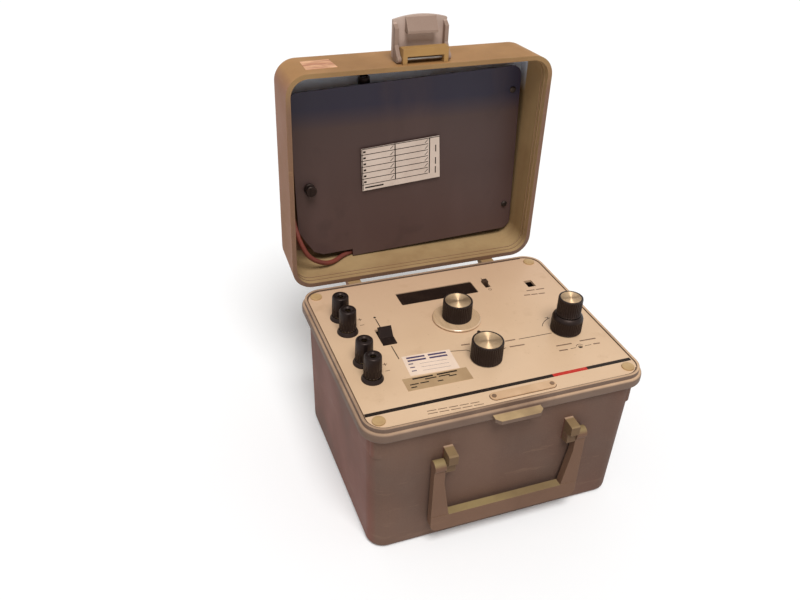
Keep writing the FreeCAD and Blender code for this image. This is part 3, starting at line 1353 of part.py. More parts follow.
def lid_arms(body):
    """Hinge arms with their knuckles and the heels that stop the open lid."""
    wall = "case_depth / 2 - lid_rim / 2"
    for n, x in enumerate(HINGES):
        side_pad(body, f"lid_arm_{n}", [
            (f"{HINGE_Y} - arm_front", HINGE_Z),
            (f"{HINGE_Y} - arm_front", f"{LID_SEAT} + seat_gap"),
            (wall, f"{LID_SEAT} + seat_gap"),
            (wall, f"{LID_SEAT} + arm_height"),
            (f"{HINGE_Y} - arm_front", f"{LID_SEAT} + arm_height"),
            (f"{HINGE_Y} + knuckle", f"{LID_SEAT} + arm_shoulder"),
            (f"{HINGE_Y} + knuckle", HINGE_Z),
        ], x, "knuckle_length")
        side_rod(body, f"lid_knuckle_{n}", HINGE_Y, HINGE_Z, "knuckle", x, "knuckle_length")
        side_pad(body, f"heel_{n}", [
            (HINGE_Y, HINGE_Z),
            (HINGE_Y, f"{HINGE_Z} - heel_reach"),
            (f"{HINGE_Y} + heel_height", f"{HINGE_Z} - heel_reach"),
            (f"{HINGE_Y} + heel_height", HINGE_Z),
        ], x, "knuckle_length")
        side_bore(body, f"lid_pin_hole_{n}", HINGE_Y, HINGE_Z, "hinge_pin + run_gap", x, "knuckle_length")


def lid_shell():
    body = new_body("lid_shell_body")
    top = f"{LID_SEAT} + lid_height"
    rim = rounded_at(body, "lid_rim", LID_SEAT, "case_width", "case_depth", "case_corner")
    roof = [
        rounded_at(body, f"lid_roof_{n}", f"{top} - {drop}", f"case_width - 2 * lid_lean - 2 * {inset}",
                   f"case_depth - 2 * lid_lean - 2 * {inset}", f"case_corner - {inset}")
        for n, (inset, drop) in enumerate(rounding("lid_round"))
    ]
    loft(body, rim, *roof)
    lid_bracket(body)
    lid_arms(body)
    mouth = rounded_at(body, "lid_mouth", LID_SEAT, "case_width - 2 * lid_rim", "case_depth - 2 * lid_rim",
                       "case_corner - lid_rim")
    inner_wide = "(case_width - 2 * lid_lean - 2 * lid_wall)"
    inner_deep = "(case_depth - 2 * lid_lean - 2 * lid_wall)"
    corner = "(case_corner - lid_rim)"
    deep = rounded_at(body, "lid_deep", f"{LID_ROOF} - lid_bevel", inner_wide, inner_deep, corner)
    end = rounded_at(body, "lid_end", LID_ROOF, f"{inner_wide} - 2 * lid_bevel",
                     f"{inner_deep} - 2 * lid_bevel", f"{corner} - lid_bevel")
    loft(body, mouth, deep, end, cuts=True)
    spots = [cover_spot(*place) for place in COVER_SCREWS + [TURN_PLACE]]
    pad(body, circles_at(body, "cover_bosses", COVER_BACK, spots, "cover_boss"),
        f"{LID_ROOF} - {COVER_BACK} + lid_wall / 2")
    pocket(body, circles_at(body, "cover_screw_holes", f"{COVER_BACK} + cover_screw_length", spots[:2],
                            "cover_screw + press_gap"), "cover_screw_length")
    pocket(body, circles_at(body, "turn_hole", f"{COVER_BACK} + turn_depth + fit_gap", spots[2:],
                            "turn_stem + run_gap"), "turn_depth + fit_gap")
    body.Placement = LID_TURN
    return subpart(body, "lid_shell")


def cover_place():
    """The cover's own placement: seen from the front, its right side sits a little high."""
    x, y = cover_spot("0", "0")
    lean = FreeCAD.Rotation(FreeCAD.Vector(0, 0, 1), -number("cover_skew"))
    faced = lean.multiply(FreeCAD.Rotation(FreeCAD.Vector(1, 0, 0), 180))
    shut = FreeCAD.Placement(FreeCAD.Vector(number(x), number(y), number(COVER_BACK)), faced)
    return LID_TURN.multiply(shut)


def storage_cover():
    """A board with a notch at its lower left where the lead comes out."""
    body = new_body("storage_cover_body")
    pad(body, rounded_at(body, "cover_outline", "0", "cover_width", "cover_length", "cover_corner"),
        "cover_thickness")
    left = "-cover_width / 2"
    low = "-cover_length / 2"
    notch = sketch_on(body, "cover_notch", "XY_Plane", "cover_thickness")
    add_polygon(notch, [
        (f"{left} - 1", f"{low} - 1"),
        (f"{left} + notch_width", f"{low} - 1"),
        (f"{left} + notch_width", f"{low} + notch_rise"),
        (f"{left} + notch_in + 8", f"{low} + notch_rise"),
        (f"{left} + notch_in", f"{low} + notch_rise + 4"),
        (f"{left} + notch_in - 7", f"{low} + notch_side - 12"),
        (f"{left} - 1", f"{low} + notch_side"),
    ])
    pocket(body, notch, "cover_thickness")
    pocket(body, circles_at(body, "cover_holes", "cover_thickness", COVER_SCREWS, "cover_screw + fit_gap"),
           "cover_thickness")
    pocket(body, circles_at(body, "cover_turn_hole", "cover_thickness", [TURN_PLACE], "turn_stem + fit_gap"),
           "cover_thickness")
    body.Placement = cover_place()
    return subpart(body, "storage_cover")


def cover_screws():
    screws = []
    for n, place in enumerate(COVER_SCREWS):
        x, y = cover_spot(*place)
        body = new_body(f"cover_screw_{n}")
        stem = f"{COVER_BACK} + cover_screw_length - fit_gap"
        head = f"{COVER_FACE} - cover_screw_rise"
        turned(body, f"cover_screw_outline_{n}", [
            ("0", head),
            ("cover_screw_head - 0.8", head),
            ("cover_screw_head", f"{head} + 0.8"),
            ("cover_screw_head", COVER_FACE),
            ("cover_screw", COVER_FACE),
            ("cover_screw", stem),
            ("0", stem),
        ])
        place = FreeCAD.Placement(FreeCAD.Vector(number(x), number(y), 0), FreeCAD.Rotation())
        body.Placement = LID_TURN.multiply(place)
        screws.append(body)
    return subpart(grouped("cover_screw_set", screws), "cover_screws")


def cover_knob():
    """A turn fastener: flange on the cover, waist, and a head to grip."""
    x, y = cover_spot(*TURN_PLACE)
    face = f"({COVER_FACE} - run_gap)"
    head = f"({face} - turn_reach)"
    tip = f"({COVER_BACK} + turn_depth)"
    body = new_body("cover_knob_body")
    turned(body, "cover_knob_outline", [
        ("0", head),
        ("turn_head - 0.8", head),
        ("turn_head", f"{head} + 0.8"),
        ("turn_head", f"{head} + 3.5"),
        ("turn_head / 2", f"{head} + 4.2"),
        ("turn_head / 2", f"{face} - 2"),
        ("turn_head - 0.3", f"{face} - 2"),
        ("turn_head - 0.3", face),
        ("turn_stem", face),
        ("turn_stem", tip),
        ("0", tip),
    ])
    place = FreeCAD.Placement(FreeCAD.Vector(number(x), number(y), 0), FreeCAD.Rotation())
    body.Placement = LID_TURN.multiply(place)
    return subpart(body, "cover_knob")


# The latch
LATCH_FACE = f"({LATCH_Y} - latch_offset)"
LATCH_WIDTH = "(bracket_width + 2 * fit_gap + 2 * latch_cheek)"


def latch_plate_outline(body):
    """The plate, square at the pin and gently crowned at its free end."""
    half = f"({LATCH_WIDTH} / 2)"
    top = f"({LATCH_Z} + latch_top)"
    side = f"({LATCH_Z} - latch_length + latch_crown)"
    radius = f"(({half} * {half} + latch_crown * latch_crown) / (2 * latch_crown))"
    sketch = sketch_on(body, "latch_face", "XZ_Plane", f"-{LATCH_FACE}")
    wide, high, low = number(half), number(top), number(side)
    spots = [FreeCAD.Vector(x, z, 0) for x, z in ((-wide, low), (-wide, high), (wide, high), (wide, low))]
    for n in range(3):
        sketch.addGeometry(Part.LineSegment(spots[n], spots[n + 1]))
    crown = FreeCAD.Vector(0, low - number("latch_crown"), 0)
    sketch.addGeometry(Part.Arc(spots[0], crown, spots[3]))
    arc = 3
    sketch.addConstraint(Sketcher.Constraint("Coincident", 0, 2, 1, 1))
    sketch.addConstraint(Sketcher.Constraint("Coincident", 1, 2, 2, 1))
    sketch.addConstraint(Sketcher.Constraint("Coincident", 0, 1, arc, 1))
    sketch.addConstraint(Sketcher.Constraint("Coincident", 2, 2, arc, 2))
    for corner, (x, z) in enumerate(((f"-{half}", side), (f"-{half}", top), (half, top))):
        measure(sketch, "DistanceX", -1, 1, corner, 1, value=x)
        measure(sketch, "DistanceY", -1, 1, corner, 1, value=z)
    measure(sketch, "DistanceX", -1, 1, 2, 2, value=half)
    measure(sketch, "DistanceY", -1, 1, 2, 2, value=side)
    measure(sketch, "Radius", arc, value=radius)
    return sketch


def latch_plate():
    body = new_body("latch_plate_body")
    pad(body, latch_plate_outline(body), "latch_plate")
    out = f"({LATCH_FACE} - latch_plate)"
    for n, start in enumerate((f"-{LATCH_WIDTH} / 2", f"{LATCH_WIDTH} / 2 - latch_cheek")):
        side_pad(body, f"latch_cheek_{n}", [
            (LATCH_Y, f"{LATCH_Z} + latch_eye"),
            (f"{out} + latch_plate / 2", f"{LATCH_Z} + latch_top"),
            (f"{out} + latch_plate / 2", f"{LATCH_Z} - latch_length + latch_crown + latch_top"),
            (f"{LATCH_FACE} + latch_flange", f"{LATCH_Z} - latch_length + latch_crown + flange_end"),
            (f"{LATCH_FACE} + latch_flange", f"{LATCH_Z} - flange_drop"),
            (LATCH_Y, f"{LATCH_Z} - latch_eye"),
        ], start, "latch_cheek")
        side_rod(body, f"latch_eye_{n}", LATCH_Y, LATCH_Z, "latch_eye", start, "latch_cheek")
    under = f"({LEDGE_TOP} - ledge_thickness - seat_gap)"
    tip = f"(-{LEDGE_Y} + hook_bite)"
    side_pad(body, "latch_hook", [
        (f"{out} + latch_plate / 2", under),
        (tip, under),
        (tip, f"{under} - hook_lip"),
        (f"{LATCH_FACE} + hook_lip / 2", f"{LATCH_Z} - latch_length + latch_top"),
        (f"{out} + latch_plate / 2", f"{LATCH_Z} - latch_length + latch_top"),
    ], "-hook_width / 2", "hook_width")
    side_bore(body, "latch_bore", LATCH_Y, LATCH_Z, "latch_pin + run_gap", f"-{LATCH_WIDTH} / 2", LATCH_WIDTH)
    body.Placement = LATCH_TURN
    return subpart(body, "latch_plate")


def latch_pin():
    pin = rod("latch_pin_rod", "latch_pin", LATCH_WIDTH, f"-{LATCH_WIDTH} / 2", LATCH_Y, LATCH_Z)
    return subpart(grouped("latch_pin_set", [pin]), "latch_pin")


# The test lead, drawn where it lies in the open lid
LEAD_RADIUS = number("lead_diameter") / 2
COIL_STEP = number("lead_diameter + lead_gap")
COIL_FRONT = number(f"{COVER_BACK} - {HINGE_Z} + {HINGE_Y} + 0.95 * lead_diameter")
COIL_BACK = COIL_FRONT + COIL_STEP
COIL_X, COIL_Z = -47.0, 175.0
COIL_OUTER = number("coil_radius") + 3 * COIL_STEP / 4
ARCH_X = -99.3
ARCH_Z = COIL_Z + 15
ARCH_DEPTH = 139.0
COIL_START = FreeCAD.Vector(COIL_X + COIL_OUTER, COIL_FRONT, COIL_Z)
UPPER_POINTS = [
    (-33.0, 141.0, 230.0),
    (-32.2, 140.6, 216.0),
    (COIL_START.x, COIL_FRONT, 199.0),
    (COIL_START.x, COIL_FRONT, COIL_Z + 2 * LEAD_RADIUS),
]
LOWER_POINTS = [
    (ARCH_X, ARCH_DEPTH, ARCH_Z - 2 * LEAD_RADIUS),
    (ARCH_X, 138.6, 172.0),
    (-98.6, 121.5, 156.0),
    (-95.0, 118.5, 143.0),
    (-87.5, 118.3, 128.5),
    (-70.0, 121.0, 119.4),
    (-50.0, 138.0, 119.7),
    (-16.0, 141.0, 119.6),
    (14.0, 140.6, 122.0),
]


def pipe(edges, name):
    """A round tube along joined edges; its volume is compared with section times length."""
    path = Part.Wire(edges)
    start = edges[0].valueAt(edges[0].FirstParameter)
    heading = edges[0].tangentAt(edges[0].FirstParameter)
    mouth = Part.Wire([Part.Circle(start, heading, LEAD_RADIUS).toShape()])
    shape = path.makePipeShell([mouth], True, False)
    share = shape.Volume / (math.pi * LEAD_RADIUS ** 2 * path.Length)
    print(f"{name}: length {path.Length:.0f} mm, volume against section times length {share:.4f}")
    thing = doc.addObject("Part::Feature", name + "_tube")
    thing.Shape = shape
    return subpart(thing, name)


def bent_run(points, name):
    """Straight runs joined by arcs that touch them."""
    spots = [FreeCAD.Vector(*point) for point in points]
    edges = []
    last = spots[0]
    for before, corner, after in zip(spots, spots[1:], spots[2:]):
        inward = (before - corner).normalize()
        outward = (after - corner).normalize()
        setback = 0.45 * min(before.distanceToPoint(corner), after.distanceToPoint(corner))
        half_turn = (math.pi - inward.getAngle(outward)) / 2
        radius = setback / math.tan(half_turn)
        print(f"{name}: bend radius {radius:.1f} mm")
        first = corner + inward * setback
        final = corner + outward * setback
        centre_line = (inward + outward).normalize()
        middle = corner + centre_line * (radius / math.cos(half_turn) - radius)
        edges.append(Part.LineSegment(last, first).toShape())
        edges.append(Part.Arc(first, middle, final).toShape())
        last = final
    edges.append(Part.LineSegment(last, spots[-1]).toShape())
    return pipe(edges, name)


def half_circle(start, across, bulge):
    """Half a circle from start to start + across, bulging up or down."""
    centre = start + across * 0.5
    middle = centre + FreeCAD.Vector(0, 0, bulge * across.Length / 2)
    return Part.Arc(start, middle, start + across).toShape()


def coil():
    """Two flat layers: half circles spiral in, one climbs to the next layer, and they spiral out."""
    turns = 9
    climb = turns // 2
    straight = FreeCAD.Vector(0, 0, 2 * LEAD_RADIUS)
    spot = COIL_START
    edges = [Part.LineSegment(spot + straight, spot).toShape()]
    for n in range(turns):
        radius = COIL_OUTER - COIL_STEP / 2 * min(n, turns - 1 - n)
        across = FreeCAD.Vector(2 * radius * (1 if n % 2 else -1), COIL_STEP if n == climb else 0, 0)
        edges.append(half_circle(spot, across, 1 if n % 2 else -1))
        spot = spot + across
    arch_foot = FreeCAD.Vector(spot.x, spot.y, ARCH_Z)
    edges.append(Part.LineSegment(spot, arch_foot).toShape())
    arch_end = FreeCAD.Vector(ARCH_X, ARCH_DEPTH, ARCH_Z)
    edges.append(half_circle(arch_foot, arch_end - arch_foot, 1))
    edges.append(Part.LineSegment(arch_end, arch_end - straight).toShape())
    print(f"coil: gap between neighbouring turns {COIL_STEP - 2 * LEAD_RADIUS:.2f} mm")
    return pipe(edges, "test_lead_coil")


def test_plug(label, place):
    """A shrouded plug with its contact pin inside."""
    body = new_body(label + "_body")
    turned(body, label + "_outline", [
        ("0", "0"),
        ("lead_diameter * 0.65", "0"),
        ("plug_radius", "plug_length / 5"),
        ("plug_radius", "plug_length - 1"),
        ("plug_radius - 0.8", "plug_length"),
        ("plug_shroud", "plug_length"),
        ("plug_shroud", "plug_length - plug_pin_length"),
        ("plug_pin", "plug_length - plug_pin_length"),
        ("plug_pin", "plug_length - 1"),
        ("0", "plug_length - 1"),
    ])
    body.Placement = place
    return subpart(body, label)


def test_lead():
    bent_run(UPPER_POINTS, "test_lead_upper")
    bent_run(LOWER_POINTS, "test_lead_lower")
    coil()
    for label, points in (("test_plug_a", UPPER_POINTS[1::-1]), ("test_plug_b", LOWER_POINTS[-2:])):
        heading = FreeCAD.Vector(*points[1]) - FreeCAD.Vector(*points[0])
        turn = FreeCAD.Rotation(FreeCAD.Vector(0, 0, 1), heading)
        test_plug(label, FreeCAD.Placement(FreeCAD.Vector(*points[1]), turn))


# Build everything, check it and write it out
base_shell()
front_panel()
panel_screws()
display_window()
display_digits()
display_board()
post_flanges()
post_studs()
post_nuts()
post_washers()
post_caps()
control_body("selector", "selector_switch_body")
control_body("mode", "mode_switch_body")
control_body("output", "output_control_body")
control_nuts()
selector()
mode_switch()
output_coarse()
output_fine()
rocker_housing()
rocker_paddle()
power_switch_body()
power_slider()
charger_jack()
trimmer()
nameplate()
nameplate_rivets()
main_circuit_board()
board_components()
inner_screws()
battery_cells()
battery_clamp()
carry_handle()
hinge_pins()
lid_shell()
storage_cover()
cover_screws()
cover_knob()
latch_plate()
latch_pin().Placement = LID_TURN
test_lead()
doc.recompute()

for thing in doc.Objects:
    if "Invalid" in thing.State or "Error" in thing.State:
        raise RuntimeError(f"{thing.Label} did not build: {thing.State}")
os.makedirs("parts", exist_ok=True)
for label, thing in SUBPARTS.items():
    shape = thing.Shape
    if shape.isNull() or not shape.isValid() or not shape.Solids:
        raise RuntimeError(f"{label} is not a sound solid")
    shape.exportStep(f"parts/{label}.step")
print(f"{len(SUBPARTS)} nodes written")
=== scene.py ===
import math

import bpy
from mathutils import Matrix, Vector


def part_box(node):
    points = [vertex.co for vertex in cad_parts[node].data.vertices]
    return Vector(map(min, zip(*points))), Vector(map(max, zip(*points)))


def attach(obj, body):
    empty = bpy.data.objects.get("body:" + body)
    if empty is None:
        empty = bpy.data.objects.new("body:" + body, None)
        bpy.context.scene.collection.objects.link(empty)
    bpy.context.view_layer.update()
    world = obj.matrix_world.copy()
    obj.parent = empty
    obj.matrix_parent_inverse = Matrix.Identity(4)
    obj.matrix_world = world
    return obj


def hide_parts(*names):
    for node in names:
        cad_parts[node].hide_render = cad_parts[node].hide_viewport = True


# The looks of a portable temperature and millivolt test set, open on a pale floor.
# Sizes are millimetres in the part's own frame, and angles are degrees.
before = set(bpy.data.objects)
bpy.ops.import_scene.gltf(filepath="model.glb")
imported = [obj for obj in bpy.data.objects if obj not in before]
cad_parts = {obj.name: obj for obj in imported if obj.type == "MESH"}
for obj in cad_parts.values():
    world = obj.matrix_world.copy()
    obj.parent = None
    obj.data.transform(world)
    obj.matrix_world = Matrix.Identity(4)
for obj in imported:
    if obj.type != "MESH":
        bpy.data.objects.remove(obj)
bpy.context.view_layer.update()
MM = 0.001


def box_of(node):
    """A node's lowest and highest corners."""
    low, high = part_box(node)
    return low / MM, high / MM


def spot_of(node):
    """Where a node's middle lies, seen from above."""
    low, high = box_of(node)
    return ((low.x + high.x) / 2, (low.y + high.y) / 2)


# The photograph's view: where it is taken from, how it is turned, and its lens
VIEW_PLACE = (-231.723, -453.96, 479.065)
VIEW_YAW, VIEW_PITCH, VIEW_ROLL = 21.46, 33.44, 2.41
VIEW_LENS, VIEW_SENSOR = 36.9975, 36.0
VIEW_NEAR, VIEW_FAR = 10.0, 50000.0

# The light: a sun's strength, spread and direction, and the even light from all round
KEY_STRENGTH, KEY_SPREAD = 2.6, 30.0
KEY_DIRECTION = (0.1, 0.55, -1.0)
FILL_STRENGTH, WHITE_STRENGTH = 0.36, 1.0
FLOOR_REACH, FLOOR_LEVEL = 6000.0, -0.2

# The panel and the places on it
PANEL_HIGH = box_of("front_panel")[1]
PANEL_TOP = PANEL_HIGH.z
PANEL_CORNER, SEAM_IN = 12.6, 0.1
SELECTOR = spot_of("selector_shaft")
MODE = spot_of("mode_shaft")
OUTPUT = spot_of("coarse_shaft")
TRIMMER = spot_of("trimmer")
POWER_X = spot_of("power_switch_body")[0]
ROCKER_X = spot_of("rocker_housing")[0]
POST_NUMBERS = (1, 2, 3, 4)
POSTS = [spot_of(f"post_washer_{number}") for number in POST_NUMBERS]
SIGN_X = -71.0
SCREW_IN_SIDE, SCREW_IN_END = 8.05, 7.85
SCREW_X, SCREW_Y = PANEL_HIGH.x - SCREW_IN_SIDE, PANEL_HIGH.y - SCREW_IN_END
STRIPE_Y, STRIPE_WIDTH, STRIPE_END = -68.8, 3.2, 101.8
ACCENT = (38.0, 65.5)

# The lid, standing open
LID_RIM, LID_MIDDLE, LID_TOP = 101.0, 201.8, 290.5
LID_LEAN = 1.4 / 42.5
LID_HALF_WIDTH, LID_HALF_HEIGHT, LID_CORNER = 103.4, 85.15, 13.4
RAIL_LEAN = 0.6 / 43
COVER_FACE = box_of("storage_cover")[0].y
LABEL_CORNERS = [(-39.2, 179.4), (29.2, 183.9), (26.4, 221.1), (-40.9, 216.4)]
LABEL_OFF = 1.98
LABEL_Y = COVER_FACE - LABEL_OFF
TAPE_ENDS, TAPE_EDGES = (-89.0, -65.0), (111.0, 134.0)
LATCH_THICK = 2.6
LATCH_PLATE_Y = box_of("latch_plate")[1].y - LATCH_THICK

# What the turned pieces leave free for shafts, bushings and studs, their stems and their ribs
KNOB_HOLLOW, HOLLOW_TOP = 7.6, 5.9
SHAFT_HOLE, INNER_SHAFT_HOLE = 3.19, 1.62
SHAFT_COVER = 3.7
STUD_HOLE, STUD_COVER = 3.25, 2.2
TURN_STEM, TURN_STEM_LENGTH = 1.8, 9.0
SCREW_HEAD, SCREW_SHANK, SCREW_LENGTH = 4.6, 1.75, 15.0
INLAY_GAP = 0.02
KNOB_RIBS, FINE_RIBS, CAP_RIBS = 40, 32, 16
KNOB_BITE, CAP_BITE = 0.45, 0.8
RIB_STEPS = 6
SHARP_ANGLE = 40.0


def metres(*spot):
    return Vector(spot) * MM


def linear(level):
    """A screen's level, from 0 to 255, as light."""
    level /= 255
    return level / 12.92 if level <= 0.04045 else ((level + 0.055) / 1.055) ** 2.4


def tint(red, green, blue):
    """A colour as it looks on a screen, for a shader's socket."""
    return (linear(red), linear(green), linear(blue), 1.0)


# Materials: places, distances and depths in them are metres
class Shade:
    """A material's node tree, with short calls for the nodes used here."""

    def __init__(self, name):
        """An empty tree, with the place on the piece and the way its surface faces."""
        self.material = bpy.data.materials.new(name)
        self.material.use_nodes = True
        self.tree = self.material.node_tree
        self.tree.nodes.clear()
        own = self.add("ShaderNodeTexCoord")
        self.place = own.outputs["Object"]
        self.outward = own.outputs["Normal"]

    def add(self, kind, inputs=None, **settings):
        """A new node, with its settings and its inputs by name or number."""
        node = self.tree.nodes.new(kind)
        for name, value in settings.items():
            setattr(node, name, value)
        for name, value in (inputs or {}).items():
            self.feed(node.inputs[name], value)
        return node

    def feed(self, socket, value):
        """Links another node's output to a socket, or sets the socket to a value."""
        if isinstance(value, bpy.types.NodeSocket):
            self.tree.links.new(value, socket)
        else:
            socket.default_value = value

    def stretched(self, x, y, z):
        return self.add("ShaderNodeMapping", {"Vector": self.place, "Scale": (x, y, z)}).outputs[0]

    def noise(self, scale, detail=3.0, place=None, rough=0.55):
        return self.add("ShaderNodeTexNoise", {
            "Vector": place or self.place, "Scale": scale, "Detail": detail, "Roughness": rough,
        }).outputs[0]

    def span(self, value, start, end, low=0.0, high=1.0):
        """The value's stretch from start to end, spread from low to high."""
        return self.add("ShaderNodeMapRange", {
            "Value": value, "From Min": start, "From Max": end, "To Min": low, "To Max": high,
        }).outputs[0]

    def mix(self, share, first, second):
        return self.add("ShaderNodeMixRGB", {"Fac": share, "Color1": first, "Color2": second}).outputs[0]

    def sums(self, way, first, second=0.0):
        return self.add("ShaderNodeMath", {0: first, 1: second}, operation=way).outputs[0]

    def axis(self, name):
        return self.add("ShaderNodeSeparateXYZ", {0: self.place}).outputs[name]

    def facing(self, name, start, end, high=1.0):
        """High on faces that look along an axis, nought on those that look elsewhere."""
        part = self.add("ShaderNodeSeparateXYZ", {0: self.outward}).outputs[name]
        return self.span(part, start, end, 0.0, high)

    def inward(self, middle):
        """One on faces that look towards the middle, nought on those that look away from it."""
        away = self.add("ShaderNodeVectorMath", {0: self.place, 1: middle}, operation="SUBTRACT").outputs[0]
        along = self.add("ShaderNodeVectorMath", {0: self.outward, 1: away},
                         operation="DOT_PRODUCT").outputs["Value"]
        return self.span(along, 0.002, -0.002)

    def eased(self, radius):
        """The surface's direction with its sharp edges eased."""
        return self.add("ShaderNodeBevel", {"Radius": radius}, samples=4).outputs[0]

    def edges(self, radius):
        """One along sharp edges, nought on flat faces, broken up as real wear is."""
        true = self.add("ShaderNodeNewGeometry").outputs["Normal"]
        likeness = self.add("ShaderNodeVectorMath", {0: self.eased(radius), 1: true},
                            operation="DOT_PRODUCT").outputs["Value"]
        worn = self.span(likeness, 0.995, 0.90)
        return self.sums("MULTIPLY", worn, self.span(self.noise(120, 4), 0.35, 0.65, 0.25, 1.0))

    def finish(self, colour, roughness, height=None, depth=0.0, ease=0.0, **more):
        """Ends the tree in one surface shader."""
        normal = self.eased(ease) if ease else None
        if height is not None:
            bump = self.add("ShaderNodeBump", {"Strength": 1.0, "Distance": depth, "Height": height})
            if normal is not None:
                self.feed(bump.inputs["Normal"], normal)
            normal = bump.outputs[0]
        surface = self.add("ShaderNodeBsdfPrincipled", {"Base Color": colour, "Roughness": roughness})
        for name, value in more.items():
            self.feed(surface.inputs[name.replace("_", " ")], value)
        if normal is not None:
            self.feed(surface.inputs["Normal"], normal)
        output = self.add("ShaderNodeOutputMaterial")
        self.feed(output.inputs["Surface"], surface.outputs[0])
        return self.material


def case_grain(shade, colour, dull, worn):
    """Ends a case plastic: grime in blotches and streaks, scuffs, moulded grain, paler edges."""
    blotch = shade.noise(14, 5)
    scuffs = shade.noise(60, 6, shade.stretched(0.35, 0.35, 2.5), 0.7)
    streaks = shade.noise(40, 4, shade.stretched(1, 1, 0.12))
    grain = shade.noise(1400, 2)
    colour = shade.mix(shade.span(blotch, 0.42, 0.7, 0.0, 0.6), colour, dull)
    colour = shade.mix(shade.span(streaks, 0.56, 0.8, 0.0, 0.4), colour, dull)
    colour = shade.mix(shade.span(scuffs, 0.6, 0.72, 0.0, 0.3), colour, worn)
    colour = shade.mix(shade.span(grain, 0.3, 0.7, 0.0, 0.12), colour, worn)
    colour = shade.mix(shade.sums("MULTIPLY", shade.edges(0.0012), 0.4), colour, worn)
    height = shade.sums("ADD", grain, shade.sums("MULTIPLY", blotch, 3.0))
    return shade.finish(colour, shade.span(blotch, 0.3, 0.7, 0.46, 0.62), height, 0.00006, ease=0.0006,
                        Specular_IOR_Level=0.1)


def base_plastic():
    """The base: taupe, redder on its left side as a painted reflection, ochre lugs, and rim, ledge and lugs
    painted paler on top as light from above.
    """
    shade = Shade("case_base")
    # Painted reflection: a mask for faces that look left, which are turned redder below, as red light
    # thrown on that side.
    left = shade.facing("X", -0.65, -0.97, 0.85)
    right = shade.span(shade.axis("X"), 0.030, 0.100, 0.0, 0.8)
    rim = shade.span(shade.axis("Z"), 0.1065, 0.1095)
    lugs = shade.sums("MULTIPLY", shade.span(shade.axis("Y"), -0.0848, -0.0856),
                      shade.span(shade.axis("Z"), 0.104, 0.102))
    colour = shade.mix(left, tint(103, 79, 67), tint(114, 66, 54))
    colour = shade.mix(right, colour, tint(97, 67, 56))
    colour = shade.mix(shade.span(shade.noise(11, 3), 0.48, 0.66, 0.0, 0.6), colour, tint(92, 78, 70))
    colour = shade.mix(rim, colour, tint(112, 93, 81))
    # Painted light from above: upward faces are mixed paler, more so towards the right and on the ledge.
    lit_top = shade.mix(shade.span(shade.axis("X"), 0.02, 0.1), tint(184, 153, 126), tint(210, 176, 143))
    ledge = shade.span(shade.axis("Y"), -0.0888, -0.0894)
    lit_top = shade.mix(ledge, lit_top, tint(204, 174, 128))
    colour = shade.mix(shade.facing("Z", 0.4, 0.9), colour, lit_top)
    # Painted light from above: the ochre lugs are mixed paler on their upward faces.
    ochre = shade.mix(shade.facing("Z", 0.5, 0.9), tint(106, 84, 58), tint(146, 122, 86))
    colour = shade.mix(lugs, colour, ochre)
    return case_grain(shade, colour, tint(87, 65, 56), tint(140, 112, 92))


def lid_plastic():
    """The lid: ochre outside, redder on its left side as a painted reflection, paler inside and bluish
    white deep inside as painted light, and darker on the rim's face as painted shade.
    """
    shade = Shade("case_lid")
    depth, height = shade.axis("Y"), shade.axis("Z")
    inside = shade.inward((0.0, 0.12, LID_MIDDLE * MM))
    # Painted light: a mask deep inside, above the cover, where a bluish white lightens the lid's own shade.
    deep = shade.sums("MULTIPLY", shade.span(depth, 0.1335, 0.1350), shade.span(height, 0.250, 0.268))
    deep = shade.sums("MULTIPLY", deep, inside)
    # Painted shade: a mask for rim faces that look forward, which are mixed darker and redder, less so near
    # the top.
    rim = shade.sums("MULTIPLY", shade.facing("Y", -0.6, -0.95), shade.span(height, 0.2912, 0.2904))
    # Painted reflection: faces that look left are turned redder, as red light thrown on that side.
    left = shade.facing("X", -0.65, -0.97, 0.85)
    colour = shade.mix(left, tint(172, 127, 79), tint(134, 86, 66))
    # Painted light: the inside is mixed paler, lightening walls that the lid's own walls shade.
    colour = shade.mix(inside, colour, tint(170, 142, 102))
    ochre = shade.mix(shade.span(height, 0.262, 0.286), tint(117, 89, 75), tint(150, 119, 80))
    colour = shade.mix(rim, colour, ochre)
    colour = shade.mix(shade.span(height, 0.2906, 0.2912, 0.0, 0.8), colour, tint(176, 138, 82))
    colour = shade.mix(deep, colour, tint(230, 240, 255))
    return case_grain(shade, colour, tint(128, 94, 62), tint(168, 134, 96))


def handle_plastic():
    """The handle: taupe, painted paler on top as light from above, but not on the narrow steps at the ends
    of its bar.
    """
    shade = Shade("case_handle")
    ends = shade.span(shade.sums("ABSOLUTE", shade.axis("X")), 0.0448, 0.0452)
    step = shade.sums("MULTIPLY", ends, shade.span(shade.axis("Z"), 0.040, 0.038))
    # Painted light from above: upward faces are mixed paler and olive.
    top = shade.sums("MULTIPLY", shade.facing("Z", 0.35, 0.85), shade.span(step, 1.0, 0.0))
    colour = shade.mix(top, tint(110, 82, 66), tint(150, 130, 90))
    return case_grain(shade, colour, tint(94, 70, 56), tint(140, 112, 86))


def latch_plastic():
    """The latch: a pinkish taupe hook on a plate painted paler, as painted light in the hook's shade."""
    shade = Shade("case_latch")
    face = LATCH_PLATE_Y * MM
    # Painted light: the plate behind the hook is mixed paler, lightening the shade that the hook casts on
    # it.
    behind = shade.span(shade.axis("Y"), face - 0.0012, face - 0.0004)
    colour = shade.mix(behind, tint(150, 126, 112), tint(208, 184, 170))
    return case_grain(shade, colour, tint(132, 108, 94), tint(186, 164, 146))


